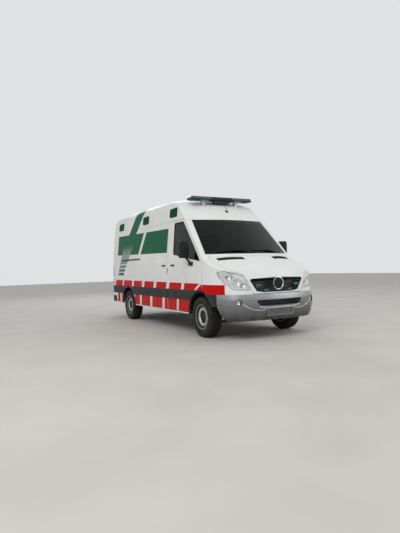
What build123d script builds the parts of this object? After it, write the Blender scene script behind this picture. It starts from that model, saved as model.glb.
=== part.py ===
# High-roof panel-van ambulance with hinged doors and bonnet, steered front wheels and live rear axle.
# Millimetres. Z is up from the road, the nose points to -Y and +X is the vehicle's left side.
# Most places are given as s, the distance behind the front face of the bumper, and turned into Y.
import os
from math import sqrt

from build123d import *

# Overall sizes
LENGTH = 5910
WHEELBASE = 3665
FRONT_AXLE = 1004
REAR_AXLE = FRONT_AXLE + WHEELBASE
HALF_WIDTH = 986
STRIP_PROUD = 10.5
WALL = 40
SEAM = 8
HAIRLINE = 3
GLASS = 6
GLASS_INSET = 6

# Wheels
TYRE_RADIUS = 356
TYRE_WIDTH = 235
WHEEL_X = 855
RIM_SEAT = 203
RIM_FLANGE = 219
RIM_HALF = 98
RIM_WALL = 8
DISC_FACE = 50
DISC_WALL = 12
HUB_RADIUS = 68
VENT_HOLES = 20
VENT_RADIUS = 178
ARCH_RADIUS = 430
HOUSING_GAP = 12
HOUSING_WALL = 10
HOUSING_X = 512
REAR_HOUSING_X = 690
KINGPIN_X = 768
# Outer end of the hubs, behind the disc's face
HUB_END = WHEEL_X + DISC_FACE - DISC_WALL

# Levels
SILL_Z = 380
DOOR_FOOT_Z = 405
BUMPER_TOP_Z = 762
COWL_Z = 1444
ROOF_FRONT_Z = 2118
ROOF_SEAM_Z = 2490
FLOOR_Z = 540
FLOOR_TOP_Z = 575
RAIL_FOOT_Z = 430
REAR_DOOR_FOOT_Z = 552
STRIP_Z = (632, 818)

# Side seams and stations
FRONT_DOOR_END = 2364
SLIDING_DOOR_END = 3808
BULKHEAD = 2430
TAIL = 5905

# Outer form: s, z on the centre line, then how far s grows and z falls at BOW_X off the centre
BOW_X = 850
PROFILE = [
    ("nose_foot", 50, 380, 120, 0),
    ("nose_top", 60, 1010, 120, 5),
    ("bonnet_lip", 105, 1125, 125, 15),
    ("bonnet_rear", 600, 1375, 219, 25),
    ("screen_foot", 700, 1435, 225, -10),
    ("screen_head", 1450, 2115, 160, 5),
    ("brow_start", 1800, 2419, 165, 15),
    ("brow_mid", 2056, 2573, 120, 60),
    ("brow_end", 2350, 2632, 30, 80),
    ("roof_mid", 3700, 2670, 0, 88),
    ("roof_rear", 5450, 2640, 0, 88),
    ("tail_bend", 5775, 2585, 0, 80),
    ("tail_top", 5880, 2450, 0, 60),
    ("tail", 5905, 1000, 0, 0),
    ("tail_foot", 5905, 380, 0, 0),
]
ARC_MIDDLES = ("brow_mid", "roof_mid", "tail_bend")
LOFT_STATIONS = (0, 340, 620, 850, 1000)

# Half cross-section: x, z up the side, then the roof shoulder as an arc
SIDE_LINE = [(972, 380), (HALF_WIDTH, 700), (HALF_WIDTH, 1150), (975, 1350), (862, 2440)]
SHOULDER = [(862, 2440), (822, 2545), (735, 2610)]
CROWN_Z = 2800

# Plan: nose corner arc and rear corner arc
NOSE_CENTRE = (159, 720)
TAIL_CORNER = 90

# Door and window outlines seen from the side, s, z
DOOR = [(880, 1300), (905, 1010), (915, 868), (1180, 826), (1361, 706), (1474, 530), (1500, DOOR_FOOT_Z),
        (FRONT_DOOR_END, DOOR_FOOT_Z), (FRONT_DOOR_END, 2095), (2300, 2150), (1712, 2150), (1048, 1440)]
DOOR_WINDOW = [(975, 1330), (1098, 1462), (1722, 2102), (2080, 2102), (2106, 2070), (2086, 1530),
               (2050, 1482), (1700, 1432)]
SLIDING_DOOR = [(FRONT_DOOR_END, DOOR_FOOT_Z), (SLIDING_DOOR_END, DOOR_FOOT_Z), (SLIDING_DOOR_END, 2150),
                (FRONT_DOOR_END, 2150)]
# Front-view outlines, x, z
SCREEN = [(885, COWL_Z), (790, ROOF_FRONT_Z)]
BONNET_FRONT = [(497, BUMPER_TOP_Z), (515, 815), (632, 1070), (680, 1092), (892, 1166), (960, 1166),
                (960, 1520)]
GRILLE = [(300, 786), (430, 808), (545, 985), (520, 1012), (0, 1030)]
INTAKE = [(394, 571), (490, 665)]
HEADLAMP = [(527, 822), (811, 840), (890, 930), (938, 1050), (950, 1137), (891, 1152), (644, 1066)]
REAR_DOOR = [(-4, REAR_DOOR_FOOT_Z), (905, REAR_DOOR_FOOT_Z), (905, 1350), (822, 2415), (-4, 2415)]
REAR_WINDOW = [(110, 1490), (800, 1490), (760, 2060), (110, 2060)]
TAIL_LAMP = [(916, 860), (1000, 860), (1000, 1290), (916, 1290)]
# Plan outline of the bonnet and of the cowl behind it, x, s
BONNET_SIDE = [(795, -100), (795, 250), (818, 420)]
BONNET_REAR = [(868, 872), (800, 838), (600, 750), (300, 666), (0, 638)]
COWL_END = (885, 1100)

# Hinge axes: x, s of the upright ones, s, z of the bonnet's
DOOR_HINGE = (978, 945)
REAR_HINGE = (885, 5897)
BONNET_HINGE = (876, 1394)
BONNET_HINGE_X = 851
BONNET_PIN_RADIUS = 5
PIN_RADIUS = 7
PIN_GAP = 0.3


def at(s):
    return s - LENGTH / 2


SIDE = Plane(origin=(0, at(0), 0), x_dir=(0, 1, 0), z_dir=(1, 0, 0))
FRONT = Plane(origin=(0, at(0), 0), x_dir=(1, 0, 0), z_dir=(0, -1, 0))
PLAN = Plane(origin=(0, at(0), 0))


def slab(plane, points, low, high, radius=0, grow=0):
    wire = Wire.make_polygon([(u, v, low) for u, v in points])
    if grow:
        wire = wire.offset_2d(grow, kind=Kind.INTERSECTION)
    if radius:
        wire = wire.fillet_2d(radius, wire.vertices())
    return plane.from_local_coords(Solid.extrude(Face(wire), Vector(0, 0, high - low)))


def side_cut(points, x0, x1, radius=0, grow=0):
    return slab(SIDE, points, x0, x1, radius, grow)


def front_cut(points, s0, s1, radius=0, grow=0):
    return slab(FRONT, points, -s1, -s0, radius, grow)


def plan_cut(points, z0, z1, radius=0, grow=0):
    return slab(PLAN, points, z0, z1, radius, grow)


def block(x, s, z, edge=0):
    solid = Solid.make_box(x[1] - x[0], s[1] - s[0], z[1] - z[0])
    solid = solid.moved(Location((x[0], at(s[0]), z[0])))
    return fillet(solid.edges(), edge) if edge else solid


def spot(x, s, z):
    return Vector(x, at(s), z)


def rod(start, end, radius):
    a = spot(*start)
    b = spot(*end)
    return Solid.make_cylinder(radius, (b - a).length, Plane(origin=a, z_dir=b - a))


def mirrored(shape):
    return shape.mirror(Plane.YZ)


def pair(shape):
    return [shape, mirrored(shape)]


def both_sides(points):
    """A half outline, lowest or foremost point first, closed by its mirror image."""
    return points + [(-u, v) for u, v in reversed(points) if u]


def solids(*items):
    out = []
    for item in items:
        if isinstance(item, (list, tuple, ShapeList)):
            out += solids(*item)
        else:
            out += list(item.solids())
    return out


def cut(shape, *tools):
    for tool in tools:
        shape = shape - tool
    return biggest(shape)


def biggest(shape):
    return max(shape.solids(), key=lambda one: one.volume)


def write(name, *items):
    found = solids(*items)
    shape = found[0] if len(found) == 1 else Compound(children=found)
    export_step(shape, f"parts/{name}.step")


def offset_corners(points, depth):
    moved = []
    for index, (u, v) in enumerate(points):
        here = Vector(u, v)
        before = (here - Vector(*points[index - 1])).normalized()
        after = (Vector(*points[(index + 1) % len(points)]) - here).normalized()
        normals = Vector(before.Y, -before.X), Vector(after.Y, -after.X)
        middle = (normals[0] + normals[1]).normalized()
        here += middle * (depth / max(0.3, middle.dot(normals[0])))
        moved.append((here.X, here.Y))
    return moved


def profile_wire(x, depth, foot):
    """The side profile as it runs at x from the middle."""
    f = (x / BOW_X) ** 2
    points = [(at(s) + bow * f, z - drop * f) for name, s, z, bow, drop in PROFILE]
    points = offset_corners(points, depth) if depth else points
    points[0] = (points[0][0], foot)
    points[-1] = (points[-1][0], foot)
    places = [(x, y, z) for y, z in points]
    edges = []
    index = 0
    while index < len(places) - 1:
        if PROFILE[index + 1][0] in ARC_MIDDLES:
            edges.append(Edge.make_three_point_arc(*places[index:index + 3]))
            index += 2
        else:
            edges.append(Edge.make_line(*places[index:index + 2]))
            index += 1
    edges.append(Edge.make_line(places[-1], places[0]))
    return Wire(edges)


def section_prism(depth, foot):
    """The cross-section carried along the whole length."""
    line = [(x - depth, z) for x, z in SIDE_LINE]
    line[0] = (line[0][0], foot)
    shoulder = [(x - depth * k, z - depth * m) for (x, z), k, m in zip(SHOULDER, (1, 1, 0.7), (0, 0.7, 1))]
    edges = [Edge.make_line((a[0], 0, a[1]), (b[0], 0, b[1])) for a, b in zip(line, line[1:])]
    edges.append(Edge.make_three_point_arc(*[(x, 0, z) for x, z in shoulder]))
    edges.append(Edge.make_line((shoulder[2][0], 0, shoulder[2][1]), (0, 0, CROWN_Z)))
    edges += [edge.mirror(Plane.YZ) for edge in edges]
    edges.append(Edge.make_line((-line[0][0], 0, foot), (line[0][0], 0, foot)))
    return Solid.extrude(Face(Wire(edges)), Vector(0, LENGTH + 400, 0)).moved(Location((0, at(-200), 0)))


def plan_prism(depth):
    """The plan outline carried up to the crown."""
    side = HALF_WIDTH - depth
    radius = HALF_WIDTH - NOSE_CENTRE[0] - depth
    half = sqrt(0.5)
    tail = TAIL - depth
    corner = TAIL_CORNER - depth
    cx, cs = NOSE_CENTRE
    inset = corner * (1 - half)
    edges = [
        Edge.make_line((side, tail - corner), (side, cs)),
        Edge.make_three_point_arc((side, cs), (cx + radius * half, cs - radius * half), (cx, cs - radius)),
        Edge.make_three_point_arc((side, tail - corner), (side - inset, tail - inset), (side - corner, tail)),
    ]
    edges += [edge.mirror(Plane.YZ) for edge in edges]
    edges.append(Edge.make_line((cx, cs - radius), (-cx, cs - radius)))
    edges.append(Edge.make_line((side - corner, tail), (corner - side, tail)))
    solid = Solid.extrude(Face(Wire(edges)), Vector(0, 0, CROWN_Z))
    return solid.moved(Location((0, at(0), 100)))


def van_form(depth, foot):
    """The body's form, set in by depth: profile, cross-section and plan at once."""
    stations = [-x for x in reversed(LOFT_STATIONS[1:])] + list(LOFT_STATIONS)
    nose_and_roof = Solid.make_loft([profile_wire(x, depth, foot) for x in stations])
    return nose_and_roof & section_prism(depth, foot) & plan_prism(depth)


def arch(centre, radius, x0, x1):
    return rod((x0, centre, TYRE_RADIUS), (x1, centre, TYRE_RADIUS), radius)


def side_band(depth):
    line = [(x, z) for x, z in SIDE_LINE] + [(SHOULDER[1][0], SHOULDER[1][1])]
    points = line + [(x - depth, z) for x, z in reversed(line)]
    points = [(x + 60, z) if index < len(line) else (x, z) for index, (x, z) in enumerate(points)]
    return front_cut(points, 700, LENGTH)


# Body shell and its seams

def roof_zone(grow=0):
    points = [(1200, ROOF_FRONT_Z), (1640, ROOF_FRONT_Z), (2110, ROOF_SEAM_Z), (5700, ROOF_SEAM_Z),
              (5700, REAR_DOOR[3][1]), (LENGTH + 50, REAR_DOOR[3][1]), (LENGTH + 50, 2900), (1200, 2900)]
    return side_cut(points, -1100, 1100, grow=grow)


def door_zone(grow=0):
    return side_cut(DOOR, 700, 1100, grow=grow) & side_band(WALL + 4)


def bonnet_zone(grow=0):
    plan = plan_cut(both_sides(BONNET_SIDE + BONNET_REAR), 700, 1500, grow=grow)
    return plan & front_cut(both_sides(BONNET_FRONT), -50, 1000, grow=grow)


def cowl_zone():
    front = [(x, s + SEAM / 2) for x, s in BONNET_REAR]
    points = both_sides([(COWL_END[0], COWL_END[1]), (COWL_END[0], front[0][1])] + front)
    return plan_cut(points, 1320, COWL_Z)


def headlamp_zone(grow=0):
    return front_cut(HEADLAMP, -50, 560, radius=14, grow=grow)


def rear_door_zone(grow=0):
    return front_cut(REAR_DOOR, TAIL - 130, LENGTH + 20, grow=grow)


def tail_lamp_zone(grow=0):
    return front_cut(TAIL_LAMP, TAIL - 150, LENGTH + 20, grow=grow)


def bumper_zone():
    return side_cut([(-50, 200), (900, 200), (900, BUMPER_TOP_Z), (-50, BUMPER_TOP_Z)], -1100, 1100)


def rear_bumper_zone():
    points = [(5600, 200), (LENGTH + 50, 200), (LENGTH + 50, REAR_DOOR_FOOT_Z), (5600, REAR_DOOR_FOOT_Z)]
    return side_cut(points, -1100, 1100)


def wing_zone():
    return side_cut([(-50, SILL_Z), (1560, SILL_Z), (1560, 860), (1090, COWL_Z), (-50, COWL_Z)], 0, 1100)


def screen_zone():
    return front_cut(both_sides(SCREEN), 0, 2000)


def side_window_zone():
    return side_cut(DOOR_WINDOW, 700, 1100, radius=26)


def rear_window_zone():
    return front_cut(REAR_WINDOW, TAIL - 130, LENGTH + 20, radius=45)


def sliding_door_zone(grow=0):
    return side_cut(SLIDING_DOOR, -1100, -700, grow=grow) & mirrored(side_band(WALL + 4))


def hinge_pin(place, z0, z1, grow=0):
    x, s = place
    return rod((x, s, z0), (x, s, z1), PIN_RADIUS + grow)


DOOR_PIN_Z = (812, 1110)
REAR_PIN_Z = (500, 950)


def front_wing(half):
    front_arch = arch(FRONT_AXLE, ARCH_RADIUS, 500, 1100)
    wing = cut(half & wing_zone(), door_zone(), bonnet_zone(), cowl_zone(), headlamp_zone(), bumper_zone(),
               front_arch, bonnet_pocket())
    return biggest(wing + hinge_pin(DOOR_HINGE, *DOOR_PIN_Z))


def side_panel(half):
    rear_arch = arch(REAR_AXLE, ARCH_RADIUS, 600, 1100)
    return cut(half, wing_zone(), door_zone(), roof_zone(), screen_zone(), rear_door_zone(), rear_arch,
               tail_lamp_zone(), rear_bumper_zone(), cowl_zone())


def front_door(half):
    door = biggest(half & door_zone(-SEAM))
    hole = hinge_pin(DOOR_HINGE, DOOR_PIN_Z[0] - 40, DOOR_PIN_Z[1] + 1, PIN_GAP)
    return cut(door, side_window_zone(), hole)


def rear_door(half):
    door = biggest(half & rear_door_zone(-SEAM))
    hole = hinge_pin(REAR_HINGE, REAR_PIN_Z[0], REAR_PIN_Z[1] + 1, PIN_GAP)
    return cut(door, rear_window_zone(), hole)


# Bonnet, cowl and grille

def bonnet_arm():
    s, z = BONNET_HINGE
    x0, x1 = BONNET_HINGE_X - 5, BONNET_HINGE_X + 5
    bar = side_cut([(s - 46, z - 46), (s + 6, z - 10), (s - 4, z + 12), (s - 46, z - 22)], x0, x1)
    boss = rod((x0, s, z), (x1, s, z), 12)
    return biggest(bar + boss - bonnet_pin(PIN_GAP))


def bonnet_pin(grow=0):
    s, z = BONNET_HINGE
    return rod((BONNET_HINGE_X - 16, s, z), (BONNET_HINGE_X + 9, s, z), BONNET_PIN_RADIUS + grow)


def bonnet_pocket():
    s = BONNET_HINGE[0]
    return block((BONNET_HINGE_X - 11, BONNET_HINGE_X + 11), (s - 60, s + 22), (1300, 1500))


# Plan outline of the air inlet slot in the bonnet, x, s
INLET = [(322, 566), (752, 716), (744, 764), (318, 616)]
INLET_LOUVRES = 5


def inlet_zone(grow=0):
    return plan_cut(INLET, 1200, 1500, radius=12, grow=grow)


def bonnet(shell):
    panel = cut(shell & bonnet_zone(-SEAM), front_cut(both_sides(GRILLE), -50, 400, radius=20), inlet_zone(),
                mirrored(inlet_zone()))
    return biggest(panel + bonnet_arm() + mirrored(bonnet_arm()))


def bonnet_inlet():
    """Dark insert in the inlet slot: a sunk plate with louvres across it."""
    tray = biggest((van_form(3, SILL_Z) - van_form(WALL - 4, SILL_Z)) & inlet_zone(-0.2))
    floor = van_form(20, SILL_Z)
    (x0, s0), (x1, s1) = INLET[0], INLET[1]
    across = Vector(s0 - s1, x1 - x0).normalized()
    share = 1 / INLET_LOUVRES
    for k in range(INLET_LOUVRES):
        a, b = (k + 0.12) * share, (k + 0.88) * share
        ends = [(x0 + (x1 - x0) * t, s0 + (s1 - s0) * t) for t in (a, b)]
        low = [(x + across.X * 8, s + across.Y * 8) for x, s in ends]
        high = [(x + across.X * 38, s + across.Y * 38) for x, s in reversed(ends)]
        tray = tray - (plan_cut(low + high, 1200, 1500) - floor)
    return biggest(tray)


def cowl(shell):
    panel = cut(biggest(shell & cowl_zone()), bonnet_pocket(), mirrored(bonnet_pocket()))
    return biggest(panel + bonnet_pin() + mirrored(bonnet_pin()))


GRILLE_DEPTH = 12
GRILLE_SLOTS = (820, 862, 904, 946, 988)
SLOT_HEIGHT = 24


def grille():
    plate = van_form(GRILLE_DEPTH, SILL_Z) - van_form(GRILLE_DEPTH + 25, SILL_Z)
    plate = plate & front_cut(both_sides(GRILLE), -50, 400, radius=20)
    slots = []
    for z in GRILLE_SLOTS:
        half = slot_half_width(z)
        low, high = z - SLOT_HEIGHT / 2, z + SLOT_HEIGHT / 2
        slots.append(front_cut([(-half, low), (half, low), (half, high), (-half, high)], -50, 400, radius=8))
    return cut(plate, *slots)


def slot_half_width(z):
    low, high = GRILLE[1], GRILLE[2]
    edge = low[0] + (z - low[1]) * (high[0] - low[0]) / (high[1] - low[1])
    return min(edge, high[0]) - 36


# Centre x, z of the small lamps in the grille
GRILLE_LAMPS = [(392, 904), (243, 820)]
GRILLE_LAMP_SIZE = (90, 34)


def grille_lamps(outer):
    lamps = []
    a, b = GRILLE_LAMP_SIZE[0] / 2, GRILLE_LAMP_SIZE[1] / 2
    for x, z in GRILLE_LAMPS:
        face = front_cut([(x - a, z - b), (x + a, z - b), (x + a, z + b), (x - a, z + b)], -50, 260, radius=8)
        lamps.append(biggest((outer - van_form(GRILLE_DEPTH - PIN_GAP, SILL_Z)) & face))
    return [pair(lamp) for lamp in lamps]


# Bumpers

# z, s of the front, half width
BUMPER_LEVELS = [(330, 72, 936), (400, 38, 964), (520, 14, 980), (598, 0, 988), (672, 8, 988),
                 (BUMPER_TOP_Z, 34, 988)]
BUMPER_SIDE_END = 560


def bumper_wire(z, front, half, depth):
    """Plan outline of the bumper at one level, set back by depth."""
    mid_x, mid_s = 700, front + 95 + depth
    corner = (920 - depth * 0.8 + (half - 988) * 0.8, front + 279 + depth * 0.7)
    side = half - depth
    edges = [
        Edge.make_three_point_arc((-mid_x, mid_s, z), (0, front + depth, z), (mid_x, mid_s, z)),
        Edge.make_three_point_arc((mid_x, mid_s, z), (*corner, z), (side, front + 540, z)),
        Edge.make_line((side, front + 540, z), (side, BUMPER_SIDE_END + 60, z)),
        Edge.make_line((side, BUMPER_SIDE_END + 60, z), (-side, BUMPER_SIDE_END + 60, z)),
        Edge.make_line((-side, BUMPER_SIDE_END + 60, z), (-side, front + 540, z)),
        Edge.make_three_point_arc((-side, front + 540, z), (-corner[0], corner[1], z), (-mid_x, mid_s, z)),
    ]
    return Wire(edges)


def bumper_form(depth):
    wires = [bumper_wire(*level, depth) for level in BUMPER_LEVELS]
    return PLAN.from_local_coords(Solid.make_loft(wires, True))


# s, z down the rear edge of the bumper's side, from under the wing to the foot
BUMPER_REAR = [(445, BUMPER_TOP_Z), (440, 560), (392, 450), (322, 330), (300, 200)]
FOG_LAMP = (756, 634)
FOG_RADIUS = 52


def front_bumper():
    cover = bumper_form(0) - bumper_form(44)
    cover = cover & side_cut([(-50, BUMPER_TOP_Z)] + BUMPER_REAR + [(-50, 200)], -1100, 1100)
    tools = [front_cut(both_sides(INTAKE), -50, 400, radius=24)]
    for x in (FOG_LAMP[0], -FOG_LAMP[0]):
        tools.append(rod((x, -50, FOG_LAMP[1]), (x, 400, FOG_LAMP[1]), FOG_RADIUS))
    return cut(cover, *tools)


LENS = 5
# Centre x, z and radius of the bowls in each headlamp, and a bowl's depth as a share of its radius
BOWLS = [(846, 1046, 62), (756, 962, 70), (655, 906, 52)]
BOWL_DEPTH = 0.7
LAMP_BACK = 100


def headlamp_lens(outer):
    return biggest((outer - van_form(LENS, SILL_Z)) & headlamp_zone())


def lamp_housing():
    """Case behind a headlamp's lens with three dished bowls."""
    front = van_form(LENS + 14, SILL_Z)
    case = biggest((front - van_form(LAMP_BACK, SILL_Z)) & headlamp_zone(-5))
    for x, z, radius in BOWLS:
        depth = BOWL_DEPTH * radius
        ball = (radius * radius + depth * depth) / (2 * depth)
        centre = bowl_mouth(front, x, z) + Vector(0, depth - ball, 0)
        case = case - Solid.make_sphere(ball, Plane(origin=centre, x_dir=(0, -1, 0), z_dir=(0, 0, 1)))
    return biggest(case)


def bowl_mouth(front, x, z):
    line = rod((x, -50, z), (x, 700, z), 1)
    return Vector(x, biggest(front & line).bounding_box().min.Y, z)


def fog_lamp():
    x, z = FOG_LAMP
    return biggest((bumper_form(14) - bumper_form(40)) & rod((x, -50, z), (x, 400, z), FOG_RADIUS))


def intake_grille():
    plate = (bumper_form(16) - bumper_form(38)) & front_cut(both_sides(INTAKE), -50, 400, radius=24)
    slots = []
    for z in (592, 618, 644):
        slots.append(block((-360, 360), (-50, 400), (z - 7, z + 7)))
    return cut(plate, *slots)


def rear_bumper():
    behind = block((-1100, 1100), (5603, LENGTH), (400, REAR_DOOR_FOOT_Z - HAIRLINE))
    cover = (plan_prism(-5) - plan_prism(WALL)) & behind
    step = block((-900, 900), (5790, TAIL - WALL), (470, FLOOR_Z))
    bumper = biggest(cover + step)
    for side in (1, -1):
        bumper = bumper + hinge_pin((side * REAR_HINGE[0], REAR_HINGE[1]), *REAR_PIN_Z)
    return biggest(bumper)


# Pieces that stand on the body side

def side_x(z):
    for (x0, z0), (x1, z1) in zip(SIDE_LINE, SIDE_LINE[1:]):
        if z0 <= z <= z1:
            return x0 + (x1 - x0) * (z - z0) / (z1 - z0)
    raise ValueError(z)


def side_piece(s, z, proud, bevel=8):
    knots = [(x, level) for x, level in SIDE_LINE if z[0] < level < z[1]]
    inner = [(side_x(z[0]), z[0])] + knots + [(side_x(z[1]), z[1])]
    outer = [(side_x(z[1]) + proud, z[1] - bevel), (side_x(z[0]) + proud, z[0] + bevel)]
    return front_cut(inner + outer, *s)


# s of the middle, half length, z range of the raised lamps on each side
SIDE_LAMPS = [2172, 3635, 5323]
SIDE_LAMP_HALF = 145
SIDE_LAMP_Z = (2228, 2412)


def side_lamps():
    lamps = [side_piece((s - SIDE_LAMP_HALF, s + SIDE_LAMP_HALF), SIDE_LAMP_Z, 26, 18) for s in SIDE_LAMPS]
    return [pair(lamp) for lamp in lamps]


def strip(s0, s1):
    return side_piece((s0, s1), STRIP_Z, STRIP_PROUD)


def arch_trim(half):
    """Dark plastic between the end of the bumper and the front wheel arch."""
    front = BUMPER_REAR[0][0] + HAIRLINE
    zone = side_cut([(front, 560), (880, 560), (880, BUMPER_TOP_Z), (front, BUMPER_TOP_Z)], 600, 1100)
    return cut(half & zone, arch(FRONT_AXLE, ARCH_RADIUS, 500, 1100))


def side_strips():
    ends = REAR_AXLE + ARCH_RADIUS
    rear = arch(REAR_AXLE, ARCH_RADIUS + 14, 900, 1100)
    front = cut(strip(1150, 1500), arch(FRONT_AXLE, ARCH_RADIUS + 10, 900, 1100), side_cut(DOOR, 700, 1100))
    behind = [cut(strip(SLIDING_DOOR_END + 6, 4420), rear), cut(strip(4900, 5800), rear)]
    left = cut(strip(FRONT_DOOR_END + 6, 4420), rear)
    door = strip(FRONT_DOOR_END + 6, SLIDING_DOOR_END - 6)
    return [front, left, behind[1]] + [mirrored(one) for one in [front, door] + behind]


def door_trim():
    strap = biggest(strip(1150, 2500) & side_cut(DOOR, 700, 1100, grow=-SEAM))
    handle = side_piece((2010, 2150), (1262, 1294), 22, 6)
    return [strap, handle]


def door_rail():
    rail = side_piece((3880, 5150), (1436, 1470), 9, 5)
    handle = side_piece((2440, 2580), (1262, 1294), 22, 6)
    return [mirrored(rail), mirrored(handle)]


MIRROR_X = (1035, 1205)
MIRROR_S = (1252, 1352)
MIRROR_Z = (1395, 1705)
MIRROR_RIM = 14


def mirror():
    """Door mirror: foot, arm and a rounded case with a pocket for its glass."""
    (x0, x1), (s0, s1), (z0, z1) = MIRROR_X, MIRROR_S, MIRROR_Z
    case = front_cut([(x0, z0), (x1, z0), (x1, z1), (x0, z1)], s0, s1, radius=40)
    front = case.faces().sort_by(Axis.Y)[0]
    case = fillet(front.edges(), 34)
    pocket = front_cut([(x0, z0), (x1, z0), (x1, z1), (x0, z1)], s1 - 10, s1 + 5, radius=40, grow=-MIRROR_RIM)
    foot = side_piece((1240, 1370), (1256, 1326), 30, 8)
    arm = rod((992, 1304, 1292), (1095, 1304, 1420), 18)
    return biggest(cut(case, pocket) + arm + foot)


# Roof

BAR_S = (1742, 1962)
BAR_Z = (2536, 2606)
BAR_HALF = 700
BAR_TRAY = 18
BAR_MIDDLE = 236


def bar_form():
    (s0, s1), (z0, z1) = BAR_S, BAR_Z
    points = [(s0 + 12, z0), (s1 - 12, z0), (s1, z0 + 22), (s1 - 26, z1), (s0 + 26, z1), (s0, z0 + 22)]
    bar = side_cut(points, -BAR_HALF, BAR_HALF)
    ends = bar.faces().sort_by(Axis.X)
    return chamfer(ends[0].edges() + ends[-1].edges(), 14)


def bar_lens_zone():
    return block((BAR_MIDDLE, 800), (1700, 2000), (BAR_Z[0] + BAR_TRAY, 2700))


def light_bar(outer):
    """Tray and middle of the bar, the control unit under it and its two feet on the roof."""
    bar = cut(bar_form(), bar_lens_zone(), mirrored(bar_lens_zone()))
    pod = block((-190, 190), (1775, 1850), (2480, BAR_Z[0] + 6), edge=10) - outer
    foot = block((350, 410), (1850, 1930), (2380, BAR_Z[0] + 6))
    feet = (foot - outer) + mirrored(foot - outer)
    return biggest(bar + pod + feet)


def light_bar_lens():
    return biggest(bar_form() & bar_lens_zone())


def antenna(outer):
    base = rod((40, 1672, 2200), (40, 1672, 2330), 26) - outer
    whip = rod((40, 1676, 2318), (40, 1724, 2462), 4)
    return biggest(base + whip)


# Running gear

def tyre_solid():
    inner = RIM_SEAT
    half = TYRE_WIDTH / 2
    profile = [(inner, -90), (inner + 22, -101), (290, -half), (338, -104), (352, -86), (TYRE_RADIUS, -40),
               (TYRE_RADIUS, 40), (352, 86), (338, 104), (290, half), (inner + 22, 101), (inner, 90)]
    wire = Wire.make_polygon([(x, 0, r) for r, x in profile])
    return Solid.revolve(Face(wire), 360, Axis.X)


def rim_solid():
    """Steel wheel: a drop-centre barrel and a dished disc with a ring of oval vents."""
    barrel = [(RIM_FLANGE, -RIM_HALF - 6), (RIM_SEAT, -RIM_HALF), (RIM_SEAT, -60), (176, -40), (176, 20),
              (RIM_SEAT, 60), (RIM_SEAT, RIM_HALF), (RIM_FLANGE, RIM_HALF + 6)]
    inner = [(r - RIM_WALL, x) for r, x in reversed(barrel)]
    ring = Solid.revolve(Face(Wire.make_polygon([(x, 0, r) for r, x in barrel + inner])), 360, Axis.X)
    ridge = DISC_FACE + 34
    face = [(40, DISC_FACE), (102, DISC_FACE), (126, ridge - 2), (144, ridge), (160, ridge - 4), (194, 58)]
    back = [(r, x - DISC_WALL) for r, x in reversed(face)]
    disc = Solid.revolve(Face(Wire.make_polygon([(x, 0, r) for r, x in face + back])), 360, Axis.X)
    wheel = ring + disc
    vents = [vent_tool(360 * k / VENT_HOLES) for k in range(VENT_HOLES)]
    return biggest(wheel - Compound(children=vents))


def vent_tool(turn):
    tool = extrude(SlotOverall(34, 18), amount=110)
    tool = Plane(origin=(-5, 0, 0), x_dir=(0, 1, 0), z_dir=(1, 0, 0)).from_local_coords(tool)
    return tool.moved(Location((0, 0, VENT_RADIUS))).rotate(Axis.X, turn)


def place_wheel(solid, x, s):
    turned = solid if x > 0 else mirrored(solid)
    return turned.moved(Location((x, at(s), TYRE_RADIUS)))


STRUT_X = 652
KINGPIN_RADIUS = 12


def kingpin(grow=0):
    return rod((KINGPIN_X, FRONT_AXLE, 237), (KINGPIN_X, FRONT_AXLE, 290), KINGPIN_RADIUS + grow)


def knuckle():
    hub = rod((KINGPIN_X, FRONT_AXLE, TYRE_RADIUS), (HUB_END, FRONT_AXLE, TYRE_RADIUS), HUB_RADIUS)
    disc = rod((838, FRONT_AXLE, TYRE_RADIUS), (862, FRONT_AXLE, TYRE_RADIUS), 150)
    upright = block((KINGPIN_X - 34, KINGPIN_X + 34), (FRONT_AXLE - 55, FRONT_AXLE + 55), (262, 470), edge=14)
    arm = block((KINGPIN_X - 60, KINGPIN_X - 20), (FRONT_AXLE + 40, FRONT_AXLE + 170), (300, 330), edge=8)
    strut_seat = block((STRUT_X - 30, KINGPIN_X), (FRONT_AXLE - 35, FRONT_AXLE + 35), (425, 470), edge=8)
    return biggest(hub + disc + upright + arm + strut_seat + kingpin())


def front_subframe():
    beam = block((-HOUSING_X + 72, HOUSING_X - 72), (FRONT_AXLE - 70, FRONT_AXLE + 70), (330, RAIL_FOOT_Z))
    beam = fillet(beam.edges().filter_by(Axis.X), 20)
    tip = KINGPIN_X + 26
    outline = [(430, FRONT_AXLE - 150), (tip, FRONT_AXLE - 30), (tip, FRONT_AXLE + 30), (430, FRONT_AXLE + 60)]
    arm = plan_cut(outline, 236, 261, radius=12)
    arm = arm - kingpin(PIN_GAP)
    hanger = block((400, 452), (FRONT_AXLE - 50, FRONT_AXLE + 50), (240, 340))
    strut = rod((STRUT_X, FRONT_AXLE, 470.5), (STRUT_X, FRONT_AXLE, 570), 22)
    spring = rod((STRUT_X, FRONT_AXLE, 560), (STRUT_X, FRONT_AXLE, 900), 48)
    leg = biggest((strut + spring) & arch(FRONT_AXLE, ARCH_RADIUS + HOUSING_GAP, 400, 900))
    side = arm + hanger
    return [biggest(beam + side + mirrored(side))] + pair(leg)


HOUSING_FOOT_Z = RAIL_FOOT_Z


def housing(centre, inner_x, inner_form):
    """Half drum over a wheel, closed on its inner side and open toward the arch."""
    outer_r = ARCH_RADIUS + HOUSING_GAP + HOUSING_WALL
    hollow = arch(centre, outer_r - HOUSING_WALL, inner_x + HOUSING_WALL, 1010)
    drum = arch(centre, outer_r, inner_x, 1000) - hollow
    above = block((0, 1100), (centre - 600, centre + 600), (HOUSING_FOOT_Z, 1200))
    return biggest(drum & above & inner_form)


def housing_hole(centre, inner_x):
    radius = ARCH_RADIUS + HOUSING_GAP + HOUSING_WALL
    return pair(arch(centre, radius, inner_x, 1100))


# Underbody

WALL_HALF = 880


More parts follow.
